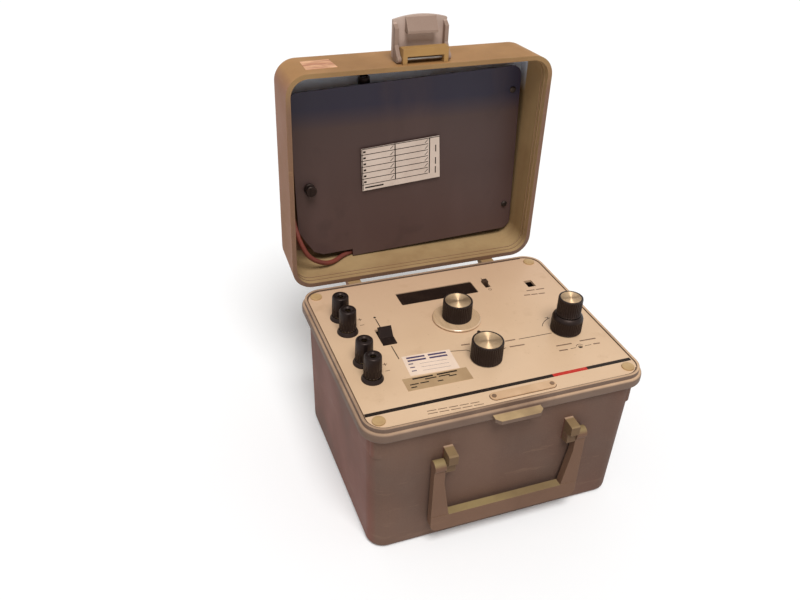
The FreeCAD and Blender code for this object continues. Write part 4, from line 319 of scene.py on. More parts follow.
def painted_panel():
    """Tan paint: slight mottling, tiny specks, handling marks round the controls."""
    shade = Shade("panel_paint")
    mottle = shade.noise(9, 5)
    smudge = shade.noise(45, 5)
    specks = shade.noise(700, 2)
    colour = shade.mix(shade.span(mottle, 0.35, 0.7), tint(220, 187, 153), tint(210, 176, 141))
    # Painted shade: the paint darkens towards the back, where the open lid shades it.
    colour = shade.mix(shade.span(shade.axis("Y"), -0.010, 0.085, 0.0, 0.5), colour, tint(186, 148, 120))
    colour = shade.mix(shade.span(smudge, 0.6, 0.78, 0.0, 0.4), colour, tint(176, 140, 106))
    colour = shade.mix(shade.span(specks, 0.7, 0.78, 0.0, 0.5), colour, tint(140, 108, 80))
    colour = shade.mix(shade.sums("MULTIPLY", shade.edges(0.0005), 0.5), colour, tint(120, 92, 70))
    return shade.finish(colour, shade.span(smudge, 0.3, 0.7, 0.38, 0.5), specks, 0.00002, ease=0.0003)


def black_plastic(name, gloss=0.34, shine=0.25):
    """Black moulding with dust in its pores and edges gone grey."""
    shade = Shade(name)
    dust = shade.noise(260, 5)
    haze = shade.noise(60, 4)
    colour = shade.mix(shade.span(haze, 0.4, 0.7), tint(22, 15, 14), tint(33, 24, 21))
    colour = shade.mix(shade.span(dust, 0.58, 0.75, 0.0, 0.35), colour, tint(68, 54, 47))
    colour = shade.mix(shade.sums("MULTIPLY", shade.edges(0.0004), 0.5), colour, tint(92, 76, 68))
    return shade.finish(colour, shade.span(haze, 0.3, 0.7, gloss, gloss + 0.16), dust, 0.00003, ease=0.0002,
                        Specular_IOR_Level=shine, Specular_Tint=tint(255, 226, 214))


def spun_metal():
    """Turned aluminium: fine rings, with light that fans out from the middle."""
    shade = Shade("spun_inlay")
    radius = shade.add("ShaderNodeVectorMath", {0: shade.place}, operation="LENGTH").outputs["Value"]
    rings = shade.sums("SINE", shade.sums("MULTIPLY", radius, 26000.0))
    stain = shade.noise(300, 4)
    colour = shade.mix(shade.span(stain, 0.4, 0.7), tint(212, 183, 147), tint(198, 168, 133))
    tangent = shade.add("ShaderNodeTangent", direction_type="RADIAL", axis="Z").outputs[0]
    return shade.finish(colour, shade.span(stain, 0.3, 0.7, 0.56, 0.62), rings, 0.000006, Metallic=0.8,
                        Anisotropic=0.97, Anisotropic_Rotation=0.25, Tangent=tangent)


def smoked_window():
    """Dark filter over the unlit digits."""
    shade = Shade("dark_window")
    haze = shade.noise(80, 4)
    colour = shade.mix(shade.span(haze, 0.35, 0.7), tint(27, 16, 10), tint(38, 24, 15))
    return shade.finish(colour, shade.span(haze, 0.3, 0.7, 0.08, 0.2), haze, 0.00001, ease=0.0003,
                        Specular_IOR_Level=0.3, Coat_Weight=0.35)


def clear_acrylic():
    """Clear plastic that takes the panel's colour, with a hard gloss."""
    shade = Shade("clear_skirt")
    scratch = shade.noise(500, 3, shade.stretched(1, 0.1, 1))
    colour = shade.mix(shade.span(scratch, 0.45, 0.7), tint(204, 171, 135), tint(192, 160, 124))
    return shade.finish(colour, shade.span(scratch, 0.3, 0.7, 0.22, 0.3), ease=0.0004,
                        Coat_Weight=0.5, Coat_Roughness=0.06)


def cover_board():
    """Dark storage cover: brown below, bluer where the lid shades it, with long rubbing marks."""
    shade = Shade("cover_board")
    rubbed = shade.noise(22, 6, shade.stretched(1, 1, 0.25))
    smudge = shade.noise(35, 5)
    fine = shade.noise(900, 2)
    low = shade.span(shade.axis("Z"), 0.185, 0.125)
    high = shade.span(shade.axis("Z"), 0.235, 0.252)
    colour = shade.mix(low, tint(74, 55, 51), tint(86, 65, 61))
    colour = shade.mix(high, colour, tint(44, 38, 58))
    colour = shade.mix(shade.span(rubbed, 0.5, 0.78, 0.0, 0.5), colour, tint(92, 71, 67))
    colour = shade.mix(shade.span(smudge, 0.6, 0.8, 0.0, 0.4), colour, tint(52, 38, 37))
    colour = shade.mix(shade.sums("MULTIPLY", shade.edges(0.0005), 0.4), colour, tint(112, 92, 84))
    return shade.finish(colour, shade.span(rubbed, 0.3, 0.7, 0.4, 0.56), fine, 0.00003, ease=0.0003,
                        Specular_IOR_Level=0.35)


def metal(name, main, dull, rough):
    """Plated or bare metal with tarnish and fine marks."""
    shade = Shade(name)
    tarnish = shade.noise(90, 5)
    marks = shade.noise(1200, 2)
    colour = shade.mix(shade.span(tarnish, 0.42, 0.68), main, dull)
    return shade.finish(colour, shade.span(tarnish, 0.3, 0.7, rough, rough + 0.18), marks, 0.00001,
                        ease=0.0002, Metallic=1.0)


def coated(name, main, dull, rough, depth=0.00003):
    """Paint, lacquer, card or rubber: one colour that drifts, over a fine grain."""
    shade = Shade(name)
    drift = shade.noise(55, 5)
    grain = shade.noise(1500, 2)
    colour = shade.mix(shade.span(drift, 0.38, 0.68), main, dull)
    colour = shade.mix(shade.span(grain, 0.4, 0.75, 0.0, 0.25), colour, dull)
    return shade.finish(colour, shade.span(drift, 0.3, 0.7, rough, rough + 0.15), grain, depth)


def old_tape():
    """Yellowed tape with wrinkles along it."""
    shade = Shade("tape")
    wrinkles = shade.noise(260, 4, shade.stretched(0.25, 1, 1))
    colour = shade.mix(shade.span(wrinkles, 0.38, 0.62), tint(172, 104, 58), tint(222, 160, 104))
    return shade.finish(colour, shade.span(wrinkles, 0.3, 0.7, 0.5, 0.25), wrinkles, 0.0004)


def printed(name, ink, thin):
    """Printing ink, worn thin in places."""
    shade = Shade(name)
    worn = shade.noise(420, 4)
    return shade.finish(shade.mix(shade.span(worn, 0.55, 0.8, 0.0, 0.6), ink, thin),
                        shade.span(worn, 0.3, 0.7, 0.45, 0.6), worn, 0.000005, Specular_IOR_Level=0.15)


CASE_BASE = base_plastic()
CASE_LID = lid_plastic()
CASE_HANDLE = handle_plastic()
CASE_LATCH = latch_plastic()
PANEL_PAINT = painted_panel()
BLACK = black_plastic("black_plastic")
BLACK_CONTROL = black_plastic("black_control", gloss=0.48, shine=0.12)
SPUN = spun_metal()
WINDOW = smoked_window()
CLEAR = clear_acrylic()
BOARD = cover_board()
STEEL = metal("steel", tint(176, 172, 166), tint(140, 134, 126), 0.28)
BRASS = metal("brass", tint(206, 176, 112), tint(168, 136, 84), 0.25)
DARK_STEEL = metal("dark_steel", tint(78, 68, 62), tint(54, 47, 44), 0.42)
# Brass made dark, for the studs seen down the posts' mouths.
DARK_BRASS = metal("dark_brass", tint(84, 66, 44), tint(58, 45, 32), 0.4)
RIVET = coated("rivet", tint(142, 110, 82), tint(112, 86, 64), 0.4)
SLIDER = coated("slider", tint(70, 48, 32), tint(52, 36, 25), 0.4)
PLATE = coated("plate_metal", tint(214, 176, 138), tint(198, 160, 122), 0.36)
SCREW_CAP = coated("screw_cap", tint(192, 158, 110), tint(170, 136, 92), 0.38)
PLATED = metal("plated_can", tint(160, 158, 150), tint(128, 124, 116), 0.4)
CIRCUIT = coated("circuit_board", tint(40, 86, 52), tint(30, 68, 42), 0.35)
PARTS = coated("components", tint(42, 42, 44), tint(30, 30, 32), 0.45)
CELLS = coated("cell_sleeve", tint(70, 92, 140), tint(56, 74, 116), 0.4)
DIGITS = coated("display_face", tint(34, 24, 22), tint(26, 18, 16), 0.3)
RED_LEAD = coated("red_lead", tint(122, 54, 40), tint(100, 44, 34), 0.5)
PAPER = coated("paper", tint(238, 212, 190), tint(226, 200, 178), 0.6)
# Painted shade: the card is white, mixed darker for the shade it lies in inside the lid.
CARD = coated("card", tint(214, 196, 182), tint(200, 181, 167), 0.6)
TAN_FOIL = coated("tan_foil", tint(182, 150, 112), tint(166, 134, 98), 0.4)
TAPE = old_tape()
INK = printed("ink", tint(34, 25, 20), tint(90, 70, 56))
GREY_INK = printed("grey_ink", tint(120, 94, 76), tint(176, 144, 116))
BLUE_INK = printed("blue_ink", tint(74, 62, 92), tint(140, 124, 140))
# Painted shadow: a dark print for the seams round the panel and the plate.
SEAM_SHADOW = printed("seam_shadow", tint(84, 62, 48), tint(150, 120, 94))
RED_INK = printed("red_ink", tint(190, 52, 44), tint(206, 110, 90))


def dress(material, *names):
    for name in names:
        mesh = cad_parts[name].data
        mesh.materials.clear()
        mesh.materials.append(material)


def dress_nodes():
    """Gives every solid its material."""
    dress(CASE_BASE, "base_shell")
    dress(CASE_LID, "lid_shell")
    dress(CASE_HANDLE, "carry_handle")
    dress(CASE_LATCH, "latch_plate")
    dress(PANEL_PAINT, "front_panel")
    dress(PLATE, "nameplate")
    dress(RIVET, "nameplate_rivets")
    dress(SCREW_CAP, "panel_screws")
    dress(WINDOW, "display_window")
    dress(DIGITS, "display_digits")
    dress(CIRCUIT, "display_board", "main_circuit_board")
    dress(PARTS, "board_components", "trimmer")
    dress(CELLS, "battery_cells")
    dress(STEEL, "inner_screws", "hinge_pins", "latch_pin", "control_nuts", "post_nuts", "battery_clamp")
    dress(STEEL, "selector_shaft", "mode_shaft", "coarse_shaft", "fine_shaft")
    dress(DARK_STEEL, "cover_screws")
    dress(PLATED, "selector_switch_body", "mode_switch_body", "output_control_body", "power_switch_body")
    dress(DARK_BRASS, "post_studs")
    dress(SLIDER, "power_slider")
    dress(BLACK_CONTROL, "rocker_paddle", "cover_knob")
    dress(BLACK, "rocker_housing", "charger_jack", "post_flanges", "test_plug_a", "test_plug_b")
    dress(BLACK, "selector_knob", "mode_knob", "coarse_knob", "fine_knob")
    dress(SPUN, "selector_inlay", "mode_inlay", "fine_inlay")
    dress(CLEAR, "selector_skirt")
    dress(BOARD, "storage_cover")
    dress(RED_LEAD, "test_lead_coil", "test_lead_upper", "test_lead_lower")
    for number in POST_NUMBERS:
        dress(BRASS, f"post_washer_{number}")
        dress(BLACK, f"post_cap_{number}")


# Making pieces
BLOCK_FACES = [(3, 2, 1, 0), (4, 5, 6, 7), (0, 1, 5, 4), (1, 2, 6, 5), (2, 3, 7, 6), (3, 0, 4, 7)]
RIBBED = True


def mesh_of(name, corners, faces, material):
    """A mesh in one material."""
    mesh = bpy.data.meshes.new(name)
    mesh.from_pydata([metres(*corner) for corner in corners], [], faces)
    mesh.materials.append(material)
    return mesh


def put(name, mesh, body, stand):
    """An object that rides on a body."""
    made = bpy.data.objects.new(name, mesh)
    made.matrix_world = stand
    bpy.context.scene.collection.objects.link(made)
    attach(made, body)
    return made


def piece(name, corners, faces, material, body, smooth=False):
    """A mesh piece from corners in the part's own frame."""
    mesh = mesh_of(name, corners, faces, material)
    if smooth:
        mesh.shade_smooth()
    else:
        mesh.shade_flat()
    return put(name, mesh, body, Matrix())


def lathe(name, centre, outline, material, body, steps=96, ribs=0, bite=0.0, stand=None,
          through=False):
    """A turned piece on the panel, or on the place that stand gives.

    Its outline's points are radius and height, and RIBBED where ribs cut in. The outline's ends are
    capped, or joined to each other where a hole goes through the piece."""
    corners = []
    for radius, height, *ribbed in outline:
        for step in range(steps):
            angle = 2 * math.pi * step / steps
            cut = bite * (0.5 - 0.5 * math.cos(ribs * angle)) if ribbed else 0.0
            reach = radius - cut
            corners.append((reach * math.cos(angle), reach * math.sin(angle), height))
    faces = []
    last = len(outline) - 1
    for ring in range(last + 1 if through else last):
        here, above = ring * steps, (ring + 1) % len(outline) * steps
        for step in range(steps):
            after = (step + 1) % steps
            faces.append((here + step, here + after, above + after, above + step))
    if not through:
        faces.append(tuple(reversed(range(steps))))
        faces.append(tuple(range(last * steps, (last + 1) * steps)))
    mesh = mesh_of(name, corners, faces, material)
    mesh.shade_smooth()
    mesh.set_sharp_from_angle(angle=math.radians(SHARP_ANGLE))
    return put(name, mesh, body, stand or Matrix.Translation(metres(*centre, PANEL_TOP)))


# The camera, the floor and the light
def camera():
    yaw, pitch, roll = (math.radians(a) for a in (VIEW_YAW, VIEW_PITCH, VIEW_ROLL))
    forward = Vector((math.sin(yaw) * math.cos(pitch), math.cos(yaw) * math.cos(pitch), -math.sin(pitch)))
    level = Vector((math.cos(yaw), -math.sin(yaw), 0))
    upright = level.cross(forward)
    right = math.cos(roll) * level + math.sin(roll) * upright
    up = math.cos(roll) * upright - math.sin(roll) * level
    lens = bpy.data.cameras.new("view")
    lens.sensor_fit = "HORIZONTAL"
    lens.sensor_width = VIEW_SENSOR
    lens.lens = VIEW_LENS
    lens.clip_start = VIEW_NEAR * MM
    lens.clip_end = VIEW_FAR * MM
    view = bpy.data.objects.new("view", lens)
    turn = Matrix((right, up, -forward)).transposed().to_4x4()
    view.matrix_world = Matrix.Translation(metres(*VIEW_PLACE)) @ turn
    bpy.context.scene.collection.objects.link(view)
    bpy.context.scene.camera = view


def floor():
    reach = FLOOR_REACH
    shade = Shade("floor_paint")
    drift = shade.noise(3, 3)
    colour = shade.mix(shade.span(drift, 0.35, 0.7), tint(252, 252, 252), tint(250, 250, 250))
    spots = ((-reach, -reach), (reach, -reach), (reach, reach), (-reach, reach))
    corners = [(x, y, FLOOR_LEVEL) for x, y in spots]
    mesh = mesh_of("floor", corners, [(0, 1, 2, 3)], shade.finish(colour, 0.9))
    made = bpy.data.objects.new("floor", mesh)
    bpy.context.scene.collection.objects.link(made)


def sky():
    """White behind the object and in its reflections, and an even, weaker light from all round."""
    world = bpy.data.worlds.new("studio")
    bpy.context.scene.world = world
    world.use_nodes = True
    tree = world.node_tree
    background = tree.nodes["Background"]
    background.inputs["Color"].default_value = (1.0, 1.0, 1.0, 1.0)
    rays = tree.nodes.new("ShaderNodeLightPath")
    seen = rays.outputs["Is Camera Ray"]
    for kind in ("Is Glossy Ray", "Is Transmission Ray"):
        either = tree.nodes.new("ShaderNodeMath")
        either.operation = "MAXIMUM"
        tree.links.new(seen, either.inputs[0])
        tree.links.new(rays.outputs[kind], either.inputs[1])
        seen = either.outputs[0]
    level = tree.nodes.new("ShaderNodeMapRange")
    level.inputs["To Min"].default_value = FILL_STRENGTH
    level.inputs["To Max"].default_value = WHITE_STRENGTH
    tree.links.new(seen, level.inputs["Value"])
    tree.links.new(level.outputs[0], background.inputs["Strength"])


def lamp():
    key = bpy.data.lights.new("key", "SUN")
    key.energy = KEY_STRENGTH
    key.angle = math.radians(KEY_SPREAD)
    made = bpy.data.objects.new("key", key)
    made.rotation_euler = Vector(KEY_DIRECTION).to_track_quat("-Z", "Y").to_euler()
    bpy.context.scene.collection.objects.link(made)


# The test lead: the same route as the solid, as one smooth line
COIL_X, COIL_Z = -47.0, 175.0
COIL_FRONT, COIL_STEP = 138.1, 4.5
COIL_OUTER = 25.375
HALF_TURNS = 9
LEAD_DIAMETER = 4.0
UPPER_POINTS = [
    (-33.0, 141.0, 230.0),
    (-32.2, 140.6, 216.0),
    (-21.625, 138.1, 199.0),
    (-21.625, 138.1, 179.0),
]
ARCH_X, ARCH_Y, ARCH_Z = -99.3, 139.0, 190.0
LOWER_POINTS = [
    (-99.3, 139.0, 186.0),
    (-99.3, 138.6, 172.0),
    (-98.6, 121.5, 156.0),
    (-95.0, 118.5, 143.0),
    (-87.5, 118.3, 128.5),
    (-70.0, 121.0, 119.4),
    (-50.0, 138.0, 119.7),
    (-16.0, 141.0, 119.6),
    (14.0, 140.6, 122.0),
]


def half_turn(start, end, bulge, steps=8):
    """Points round half a circle, after its start and up to its end, that bulges up or down."""
    middle = (start + end) / 2
    radius = (end - start).length / 2
    out = (start - end).normalized()
    points = []
    for step in range(1, steps + 1):
        angle = math.pi * step / steps
        along = middle + out * (radius * math.cos(angle))
        along.y = start.y + (end.y - start.y) * step / steps
        along.z = start.z + bulge * radius * math.sin(angle)
        points.append(along)
    return points


def lead_route():
    """From the upper plug to the coil, in and out of it, over an arch, and on to the lower plug."""
    route = [Vector(p) for p in UPPER_POINTS]
    here = Vector((COIL_X + COIL_OUTER, COIL_FRONT, COIL_Z))
    route.append(here)
    last = HALF_TURNS - 1
    for turn in range(HALF_TURNS):
        radius = COIL_OUTER - COIL_STEP / 2 * min(turn, last - turn)
        side = -1 if turn % 2 == 0 else 1
        climb = COIL_STEP if turn == last // 2 else 0.0
        end = here + Vector((side * 2 * radius, climb, 0))
        route += half_turn(here, end, -1 if turn % 2 == 0 else 1)
        here = end
    rise = Vector((here.x, here.y, ARCH_Z))
    route.append(rise)
    route += half_turn(rise, Vector((ARCH_X, ARCH_Y, ARCH_Z)), 1)
    return route + [Vector(p) for p in LOWER_POINTS]


def test_lead():
    route = lead_route()
    line = bpy.data.curves.new("test_lead", "CURVE")
    line.dimensions = "3D"
    line.bevel_depth = LEAD_DIAMETER / 2 * MM
    line.bevel_resolution = 6
    line.resolution_u = 6
    line.use_fill_caps = True
    spline = line.splines.new("NURBS")
    spline.points.add(len(route) - 1)
    for point, spot in zip(spline.points, route):
        point.co = (*metres(*spot), 1.0)
    spline.order_u = 3
    spline.use_endpoint_u = True
    line.materials.append(RED_LEAD)
    lead = bpy.data.objects.new("test_lead", line)
    bpy.context.scene.collection.objects.link(lead)
    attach(lead, "lid")
    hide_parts("test_lead_coil", "test_lead_upper", "test_lead_lower")


# Knobs and post caps, with their fine ribs
def turned_size(node, centre):
    """A turned solid's radius, and its foot and top above the panel."""
    low, high = box_of(node)
    return high.x - centre[0], low.z - PANEL_TOP, high.z - PANEL_TOP


def knob_foot(radius, low):
    """A knob's lower edge, up to where its ribs begin."""
    return [(radius - 0.3, low), (radius, low + 0.5), (radius, low + 0.9, RIBBED)]


def knob_outline(radius, low, top, seat, inside, edge=0.7, depth=0.8):
    """Down the inside, up the ribbed side, over a soft edge, and down into the seat of the inlay."""
    return [
        *inside,
        *knob_foot(radius, low),
        (radius, top - edge - 0.7, RIBBED),
        (radius, top - edge - 0.3),
        (radius - 0.3 * edge, top - 0.3 * edge),
        (radius - edge, top),
        (seat + 0.25, top),
        (seat + 0.05, top - 0.2),
        (seat + INLAY_GAP, top - depth),
    ]


def hollow(low):
    """The room under a knob for the bushing and its nut."""
    return [(SHAFT_HOLE, HOLLOW_TOP), (KNOB_HOLLOW, HOLLOW_TOP), (KNOB_HOLLOW, low)]


def knob(label, centre, ribs=KNOB_RIBS):
    """A ribbed knob with a seat for its inlay."""
    radius, low, top = turned_size(f"{label}_knob", centre)
    seat = turned_size(f"{label}_inlay", centre)[0]
    end = top - SHAFT_COVER
    if low < HOLLOW_TOP:
        inside = [(SHAFT_HOLE, end), *hollow(low)]
    else:
        inside = [(INNER_SHAFT_HOLE, end), (INNER_SHAFT_HOLE, low)]
    grip = lathe(f"{label}_grip", centre, knob_outline(radius, low, top, seat, inside), BLACK, label,
                 steps=ribs * RIB_STEPS, ribs=ribs, bite=KNOB_BITE)
    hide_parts(f"{label}_knob")


def inlay(label, centre, dish=0.3, rings=14):
    """A thin turned disc in the top of a knob, dished towards its middle."""
    radius = turned_size(f"{label}_inlay", centre)[0] - INLAY_GAP
    top = turned_size(f"{label}_knob", centre)[2]
    foot, rim = top - 0.8, top - 0.2
    outline = [(radius, foot), (radius, rim)]
    for ring in range(1, rings):
        share = 1 - ring / rings
        outline.append((radius * share, rim - dish * (1 - share * share)))
    disc = lathe(f"{label}_disc", centre, outline, SPUN, label)
    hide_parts(f"{label}_inlay")


def coarse_knob():
    """The lower knob of the output control, ribbed below and sloping in above."""
    radius, low, top = turned_size("coarse_knob", OUTPUT)
    outline = [
        *hollow(low),
        *knob_foot(radius, low),
        (radius, top - 4.2, RIBBED),
        (radius, top - 3.7),
        (radius, top - 3.0),
        (radius - 0.7, top - 1.2),
        (radius - 2.0, top),
        (SHAFT_HOLE, top),
    ]
    grip = lathe("coarse_grip", OUTPUT, outline, BLACK, "coarse",
                 steps=KNOB_RIBS * RIB_STEPS, ribs=KNOB_RIBS, bite=KNOB_BITE, through=True)
    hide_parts("coarse_knob")


def mode_nub(low=1.2, high=16.6, width=2.6, reach=0.9, angle=101.0):
    """The pointer on the mode knob's side."""
    radius = turned_size("mode_knob", MODE)[0]
    turn = math.radians(angle)
    corners = []
    for height in (low, high):
        for out, side in ((-1.0, -1), (reach, -0.6), (reach, 0.6), (-1.0, 1)):
            along, across = radius + out, side * width / 2
            corners.append((MODE[0] + along * math.cos(turn) - across * math.sin(turn),
                            MODE[1] + along * math.sin(turn) + across * math.cos(turn),
                            PANEL_TOP + height))
    piece("mode_nub", corners, BLOCK_FACES, BLACK, "mode")


def post_outline(cap, low, top, taper=0.25, mouth=2.3):
    """A cap, ribbed below, that narrows to a round top with a mouth for a plug."""
    roof = top - STUD_COVER
    return [
        (STUD_HOLE, low),
        (cap - 0.3, low),
        (cap, low + 0.3, RIBBED),
        (cap, low + 5.6, RIBBED),
        (cap, low + 6.6),
        (cap - taper, top - 1.3),
        (cap - taper - 0.15, top - 0.75),
        (cap - taper - 0.5, top - 0.28),
        (cap - taper - 1.3, top),
        (mouth + 1.0, top),
        (mouth, top - 1.0),
        (mouth, roof),
        (STUD_HOLE, roof),
    ]


def post_caps():
    for number, spot in zip(POST_NUMBERS, POSTS):
        outline = post_outline(*turned_size(f"post_cap_{number}", spot))
        cap = lathe(f"post_grip_{number}", spot, outline, BLACK, f"post_cap_{number}_body",
                    steps=128, ribs=CAP_RIBS, bite=CAP_BITE, through=True)
        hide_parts(f"post_cap_{number}")


def skirt():
    """The selector's clear skirt, with a bevelled rim that catches the light."""
    radius, low, top = turned_size("selector_skirt", SELECTOR)
    outline = [(KNOB_HOLLOW, low), (radius - 0.4, low), (radius, low + 0.3), (radius, top - 0.7),
               (radius - 0.7, top), (KNOB_HOLLOW, top)]
    disc = lathe("skirt_disc", SELECTOR, outline, CLEAR, "selector", steps=128, through=True)
    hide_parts("selector_skirt")


def turn_fastener():
    """The cover's turn fastener: a collar, a waist and a head with a grip bar across it."""
    low, high = box_of("cover_knob")
    x, z = (low.x + high.x) / 2, (low.z + high.z) / 2
    stand = Matrix.Translation(metres(x, COVER_FACE, z)) @ Matrix.Rotation(math.radians(90), 4, "X")
    collar, waist, head, reach = 4.6, 3.0, 4.6, 7.4
    outline = [(TURN_STEM, -TURN_STEM_LENGTH), (TURN_STEM, 0.1), (collar, 0.1), (collar, 1.7),
               (collar - 0.7, 2.3), (waist, 2.5), (waist, 3.9), (head - 0.5, 4.1), (head, 4.7),
               (head, reach - 0.7), (head - 0.6, reach)]
    knob_head = lathe("fastener_head", None, outline, BLACK, "fastener", steps=64,
                      stand=stand)
    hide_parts("cover_knob")
    half_width, half_length = 0.7, head - 0.9
    back, tip = COVER_FACE - reach + 0.2, COVER_FACE - reach - 0.55
    corners = []
    for y, inset in ((back, 0.0), (tip, 0.2)):
        for side, end in ((-1, -1), (1, -1), (1, 1), (-1, 1)):
            corners.append((x + side * (half_width - inset), y, z + end * (half_length - inset)))
    piece("fastener_bar", corners, BLOCK_FACES, BLACK, "fastener")


def controls():
    knob("selector", SELECTOR)
    knob("mode", MODE)
    knob("fine", OUTPUT, FINE_RIBS)
    coarse_knob()
    mode_nub()
    skirt()
    turn_fastener()
    inlay("selector", SELECTOR)
    inlay("mode", MODE)
    inlay("fine", OUTPUT)


# Prints, labels and plates
class Print:
    """Thin marks in one ink, laid on a plane, gathered into one piece."""

    def __init__(self, origin, across, up, lift, thickness=0.05):
        self.origin, self.across, self.up = Vector(origin), Vector(across), Vector(up)
        out = self.across.cross(self.up)
        self.levels = (out * (lift - thickness), out * lift)
        self.corners, self.faces = [], []

    def quad(self, *spots):
        """A thin slab on four places of the plane."""
        first = len(self.corners)
        for level in self.levels:
            self.corners += [self.origin + self.across * x + self.up * y + level for x, y in spots]
        self.faces += [tuple(first + corner for corner in face) for face in BLOCK_FACES]

    def bar(self, x, y, width, height):
        """An upright rectangle about its middle."""
        right, top = width / 2, height / 2
        self.quad((x - right, y - top), (x + right, y - top), (x + right, y + top), (x - right, y + top))

    def line(self, start, end, width):
        start, end = Vector(start), Vector(end)
        along = (end - start).normalized() * width / 2
        side = Vector((-along.y, along.x))
        self.quad(start - side, end - side, end + side, start + side)

    def arc(self, centre, radius, start, end, width, steps=18):
        centre = Vector(centre)
        inner, outer = radius - width / 2, radius + width / 2
        ways = []
        for step in range(steps + 1):
            angle = math.radians(start + (end - start) * step / steps)
            ways.append(Vector((math.cos(angle), math.sin(angle))))
        for way, after in zip(ways, ways[1:]):
            self.quad(centre + way * inner, centre + way * outer,
                      centre + after * outer, centre + after * inner)

    def make(self, name, ink, body, slot):
        return piece(name, self.corners, self.faces, ink, body)


def on_panel(lift=0.03):
    return Print((0, 0, PANEL_TOP), (1, 0, 0), (0, 1, 0), lift)


def stripe(ink, start, end):
    ink.bar((start + end) / 2, STRIPE_Y, end - start, STRIPE_WIDTH)


def rocker_lines(ink, width=0.7):
    """A dot and two lines, in line with the rocker."""
    ink.arc((ROCKER_X, 36.4), 0.55, 0, 360, 0.9)
    for start, end in ((34.4, 23.0), (-2.0, -18.2)):
        ink.line((ROCKER_X, start), (ROCKER_X, end), width)


def mode_lines(ink, width=0.6):
    """Lines that lead away from the mode knob on both sides."""
    bends = [(-20.7, -20.9), (-8.6, -23.0), (-6.4, -25.2)]
    for start, end in zip(bends, bends[1:]):
        ink.line(start, end, width)
    ink.line((13.8, -31.2), (20.6, -29.2), width)
    ink.line((34.8, -22.4), (62.4, -22.8), width)


def output_lines(ink, width=0.5):
    """An arc by the output knobs that ends in an arrow's head."""
    ink.arc(OUTPUT, 17.6, 104, 150, width)
    tip = (70.0, -3.1)
    for barb in ((68.2, -5.4), (67.2, -3.2)):
        ink.line(tip, barb, width)


def trimmer_lines(ink, width=0.45):
    """An arc over the trimmer's hole, and a line on each side of it."""
    ink.arc(TRIMMER, 3.0, 20, 160, 0.4)
    for start, end in ((66.0, 70.6), (78.2, 83.6)):
        ink.line((start, -44.8), (end, -44.8), width)


def panel_lines():
    """The stripe along the front, and the lines between the controls."""
    ink = on_panel()
    stripe(ink, -STRIPE_END, ACCENT[0])
    stripe(ink, ACCENT[1], STRIPE_END)
    rocker_lines(ink)
    mode_lines(ink)
    output_lines(ink)
    trimmer_lines(ink)
    ink.make("panel_lines", INK, "case", "panel_paint")
    accent = on_panel()
    stripe(accent, *ACCENT)
    accent.make("panel_accent", RED_INK, "case", "panel_paint")


def caption(ink, start, end, words, height=1.2):
    """A row of plain dashes from start to end."""
    start, end = Vector(start), Vector(end)
    for word in range(words):
        ink.line(start.lerp(end, (word + 0.06) / words), start.lerp(end, (word + 0.9) / words), height)


def post_signs(ink, length=3.4, width=0.6):
    """Plus and minus by each pair of posts."""
    for upper, lower in (POSTS[:2], POSTS[2:]):
        middle = (upper[1] + lower[1]) / 2
        plus, minus = middle + 3.1, middle - 4.3
        ink.bar(SIGN_X, plus, length, width)
        ink.bar(SIGN_X, plus, width, length)
        ink.bar(SIGN_X - 0.5, minus, length, width)


def panel_signs():
    """The signs by the posts, one and nought by the power switch, and rows of dashes."""
    ink = on_panel()
    post_signs(ink)
    ink.bar(POWER_X, 63.4, 0.6, 2.6)
    ink.arc((POWER_X, 46.8), 1.2, 0, 360, 0.5)
    caption(ink, (71.0, 36.0), (88.0, 35.0), 2)
    caption(ink, (66.0, 30.5), (85.0, 28.6), 3)
    caption(ink, (-10.3, -16.3), (-2.4, -17.0), 1)
    caption(ink, (22.9, -21.7), (32.8, -22.0), 1)
    caption(ink, (22.9, -29.0), (37.1, -29.8), 1)
    caption(ink, (56.5, -38.6), (71.6, -39.2), 1)
    caption(ink, (76.6, -38.2), (92.4, -38.8), 1)
    caption(ink, (56.2, -44.4), (64.4, -45.0), 1)
    caption(ink, (85.1, -44.6), (91.5, -45.0), 1)
    caption(ink, (-61.4, -76.9), (-23.0, -78.8), 5, 0.7)
    caption(ink, (-62.0, -79.6), (-21.0, -81.6), 5, 0.7)
    ink.make("panel_signs", GREY_INK, "case", "panel_paint")


def plate(name, corners, thickness, out, material, body):
    """A thin flat sheet on four corners, with a top and sides."""
    lift = Vector(out) * thickness
    low = [Vector(corner) for corner in corners]
    high = [corner + lift for corner in low]
    return piece(name, low + high, BLOCK_FACES, material, body)


def sticker(name, foot, width, height, turn, material, thickness=0.12):
    """A sheet stuck on the panel, a little askew. Gives back a plane to rule lines on."""
    turn = math.radians(turn)
    across = Vector((math.cos(turn), math.sin(turn), 0))
    up = Vector((-math.sin(turn), math.cos(turn), 0))
    foot = Vector((*foot, PANEL_TOP))
    corners = [foot, foot + across * width, foot + across * width + up * height, foot + up * height]
    plate(name, corners, thickness, (0, 0, 1), material, "case")
    return Print(foot, across, up, thickness + 0.03)


def white_sticker():
    """A white label with two heavy rows and three ruled ones."""
    width, height = 36.8, 22.4
    white = sticker("white_sticker", (-58.2, -39.0), width, height, -3.0, PAPER)
    for row in (2.6, 6.0):
        caption(white, (2.0, height - row), (width - 2.0, height - row), 2, 1.8)
    for row in (9.6, 13.6, 17.6):
        caption(white, (2.2, height - row), (6.4, height - row), 1, 1.0)
        caption(white, (9.0, height - row - 1.0), (width - 3.0, height - row - 1.0), 1, 0.2)
    white.make("white_rules", BLUE_INK, "case", "panel_paint")


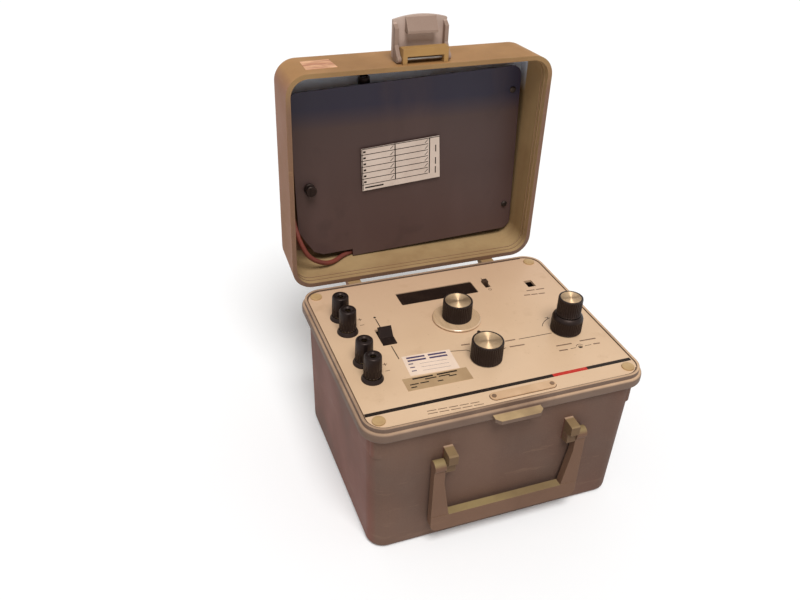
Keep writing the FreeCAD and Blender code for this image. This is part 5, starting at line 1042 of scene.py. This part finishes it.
def tan_sticker():
    """A tan label with rows of dashes."""
    width, height = 48.4, 13.4
    tan = sticker("tan_sticker", (-65.6, -54.2), width, height, -0.8, TAN_FOIL)
    caption(tan, (6.0, height - 1.8), (width - 6.0, height - 1.8), 2, 1.5)
    caption(tan, (15.0, height - 4.2), (width - 13.0, height - 4.2), 2, 1.1)
    caption(tan, (3.0, height - 7.4), (18.0, height - 7.4), 2, 1.1)
    caption(tan, (width - 16.0, height - 5.8), (width - 9.0, height - 5.8), 1, 1.1)
    caption(tan, (3.0, height - 10.4), (8.0, height - 10.4), 1, 1.1)
    caption(tan, (23.0, height - 8.8), (28.0, height - 8.8), 1, 1.1)
    tan.make("tan_rules", INK, "case", "panel_paint")


def label_rules(rules, width, height, rows=7, thin=0.6, thick=0.9):
    """The card's rows, uprights and frame, marks and strokes in its rows, and bars at its foot and side."""
    reach = width * 0.84
    for row in range(1, rows):
        rules.bar(reach / 2, height * row / rows, reach, thin)
    for share in (0.42, 0.86):
        rules.bar(width * share, height * 0.57, thick, height * 0.86)
    rules.bar(width / 2, height - 0.5, width - 1.0, thin)
    rules.bar(0.6, height / 2, thin, height - 1.0)
    for row in range(1, rows):
        middle = height * (row + 0.45) / rows
        rules.bar(2.6, middle, 2.2, 1.6)
        for share in (0.36, 0.80):
            rules.line((width * share, middle - 1.2), (width * (share + 0.04), middle + 1.4), 0.5)
    rules.bar(width * 0.15, height * 0.07, 16.0, 1.3)
    for share in (0.2, 0.42, 0.72):
        rules.bar(width * 0.94, height * share, thick, 6.0)


def cover_label(thickness=0.2):
    """The storage cover's ruled card."""
    corners = [(x, LABEL_Y, z) for x, z in LABEL_CORNERS]
    plate("cover_label", corners, thickness, (0, -1, 0), CARD, "lid")
    foot, right, top = (Vector(LABEL_CORNERS[corner]) for corner in (0, 1, 3))
    across, up = right - foot, top - foot
    width, height = across.length, up.length
    across.normalize()
    up.normalize()
    rules = Print((foot.x, LABEL_Y, foot.y), (across.x, 0, across.y), (up.x, 0, up.y), thickness + 0.04)
    label_rules(rules, width, height)
    rules.make("label_rules", INK, "lid", "cover_board")


def rounded_loop(wide, deep, corner, steps=8):
    """Points round a rectangle with round corners, with the way out at each."""
    loop = []
    for quarter, (side, end) in enumerate(((1, 1), (-1, 1), (-1, -1), (1, -1))):
        for step in range(steps + 1):
            angle = math.radians(90 * (quarter + step / steps))
            out = (math.cos(angle), math.sin(angle))
            x = side * (wide - corner) + corner * out[0]
            y = end * (deep - corner) + corner * out[1]
            loop.append((x, y, out))
    return loop


def stretches(loop):
    """Each point of a closed loop with the next one."""
    return list(zip(loop, loop[1:] + loop[:1]))


def lid_rail(number, depth, width=1.4, rise=0.7):
    """A low bead round the inside of the lid's wall, depth in from the rim."""
    lean = RAIL_LEAN * depth
    loop = rounded_loop(LID_HALF_WIDTH - lean, LID_HALF_HEIGHT - lean, LID_CORNER)
    ways = ((0.3, -width / 2), (-rise, -width / 4), (-rise, width / 4), (0.3, width / 2))
    corners = []
    for x, y, out in loop:
        for reach, along in ways:
            corners.append((x + out[0] * reach, LID_RIM + depth + along, LID_MIDDLE - y - out[1] * reach))
    faces = []
    around, count = len(ways), len(loop)
    for stop in range(count):
        here, after = stop * around, (stop + 1) % count * around
        for way in range(around):
            beside = (way + 1) % around
            faces.append((here + way, here + beside, after + beside, after + way))
    piece(f"lid_rail_{number}", corners, faces, CASE_LID, "lid", smooth=True)


def lid_tape():
    """A strip of old tape on the lid's wall."""
    corners = []
    for x, y in ((TAPE_ENDS[0], TAPE_EDGES[0]), (TAPE_ENDS[1], TAPE_EDGES[0] + 1.5),
                 (TAPE_ENDS[1] - 1.0, TAPE_EDGES[1]), (TAPE_ENDS[0] + 0.8, TAPE_EDGES[1] - 1.0)):
        corners.append((x, y, LID_TOP - LID_LEAN * (y - LID_RIM)))
    plate("lid_tape", corners, 0.15, (0, 0, 1), TAPE, "lid")


def beyond(stop, reach):
    """A place beyond a loop's point, or inside it where reach is negative."""
    x, y, out = stop
    return (x + out[0] * reach, y + out[1] * reach)


def strip(ink, parts, inner, outer):
    """A strip along stretches of a loop, between two reaches beyond it."""
    for start, end in parts:
        ink.quad(beyond(start, inner), beyond(start, outer), beyond(end, outer), beyond(end, inner))


def panel_seam(width=0.7, left=-89.0, front=-80.0):
    """Painted shadow in the seam along the panel's left, front and back edges."""
    loop = rounded_loop(PANEL_HIGH.x - SEAM_IN, PANEL_HIGH.y - SEAM_IN, PANEL_CORNER)
    parts = []
    for start, end in stretches(loop):
        if min(start[0], end[0]) <= left or min(start[1], end[1]) <= front:
            parts.append((start, end))
    seam = on_panel(0.02)
    strip(seam, parts, -width, 0.0)
    seam.make("panel_seam", SEAM_SHADOW, "case", "panel_paint")


def plate_seam(width=0.45):
    """Painted shadow in the seam round the riveted plate."""
    low, high = box_of("nameplate")
    middle, half = (low + high) / 2, (high - low) / 2
    loop = rounded_loop(half.x, half.y, half.y - 0.05)
    seam = Print((middle.x, middle.y, PANEL_TOP), (1, 0, 0), (0, 1, 0), 0.03)
    strip(seam, stretches(loop), 0.0, width)
    seam.make("plate_seam", SEAM_SHADOW, "case", "panel_paint")


def screw_caps():
    """The panel screws, with domed heads."""
    outline = [(SCREW_SHANK, -SCREW_LENGTH), (SCREW_SHANK, 0.0), (SCREW_HEAD, 0.0), (SCREW_HEAD, 0.7),
               (SCREW_HEAD - 0.15, 1.0), (4.0, 1.16), (3.0, 1.24), (1.5, 1.29), (0.6, 1.3)]
    spots = [(x, y) for x in (-SCREW_X, SCREW_X) for y in (-SCREW_Y, SCREW_Y)]
    for number, spot in enumerate(spots, 1):
        cap = lathe(f"screw_cap_{number}", spot, outline, SCREW_CAP, "case", steps=48)
        if number == 1:
            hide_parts("panel_screws")


def build():
    dress_nodes()
    camera()
    test_lead()
    floor()
    sky()
    lamp()
    controls()
    post_caps()
    panel_lines()
    panel_signs()
    white_sticker()
    tan_sticker()
    cover_label()
    lid_rail(1, 4.5)
    lid_rail(2, 9.0)
    lid_tape()
    panel_seam()
    plate_seam()
    screw_caps()


def look():
    scene = bpy.context.scene
    scene.view_settings.view_transform = "Standard"


build()
look()
bpy.context.view_layer.update()
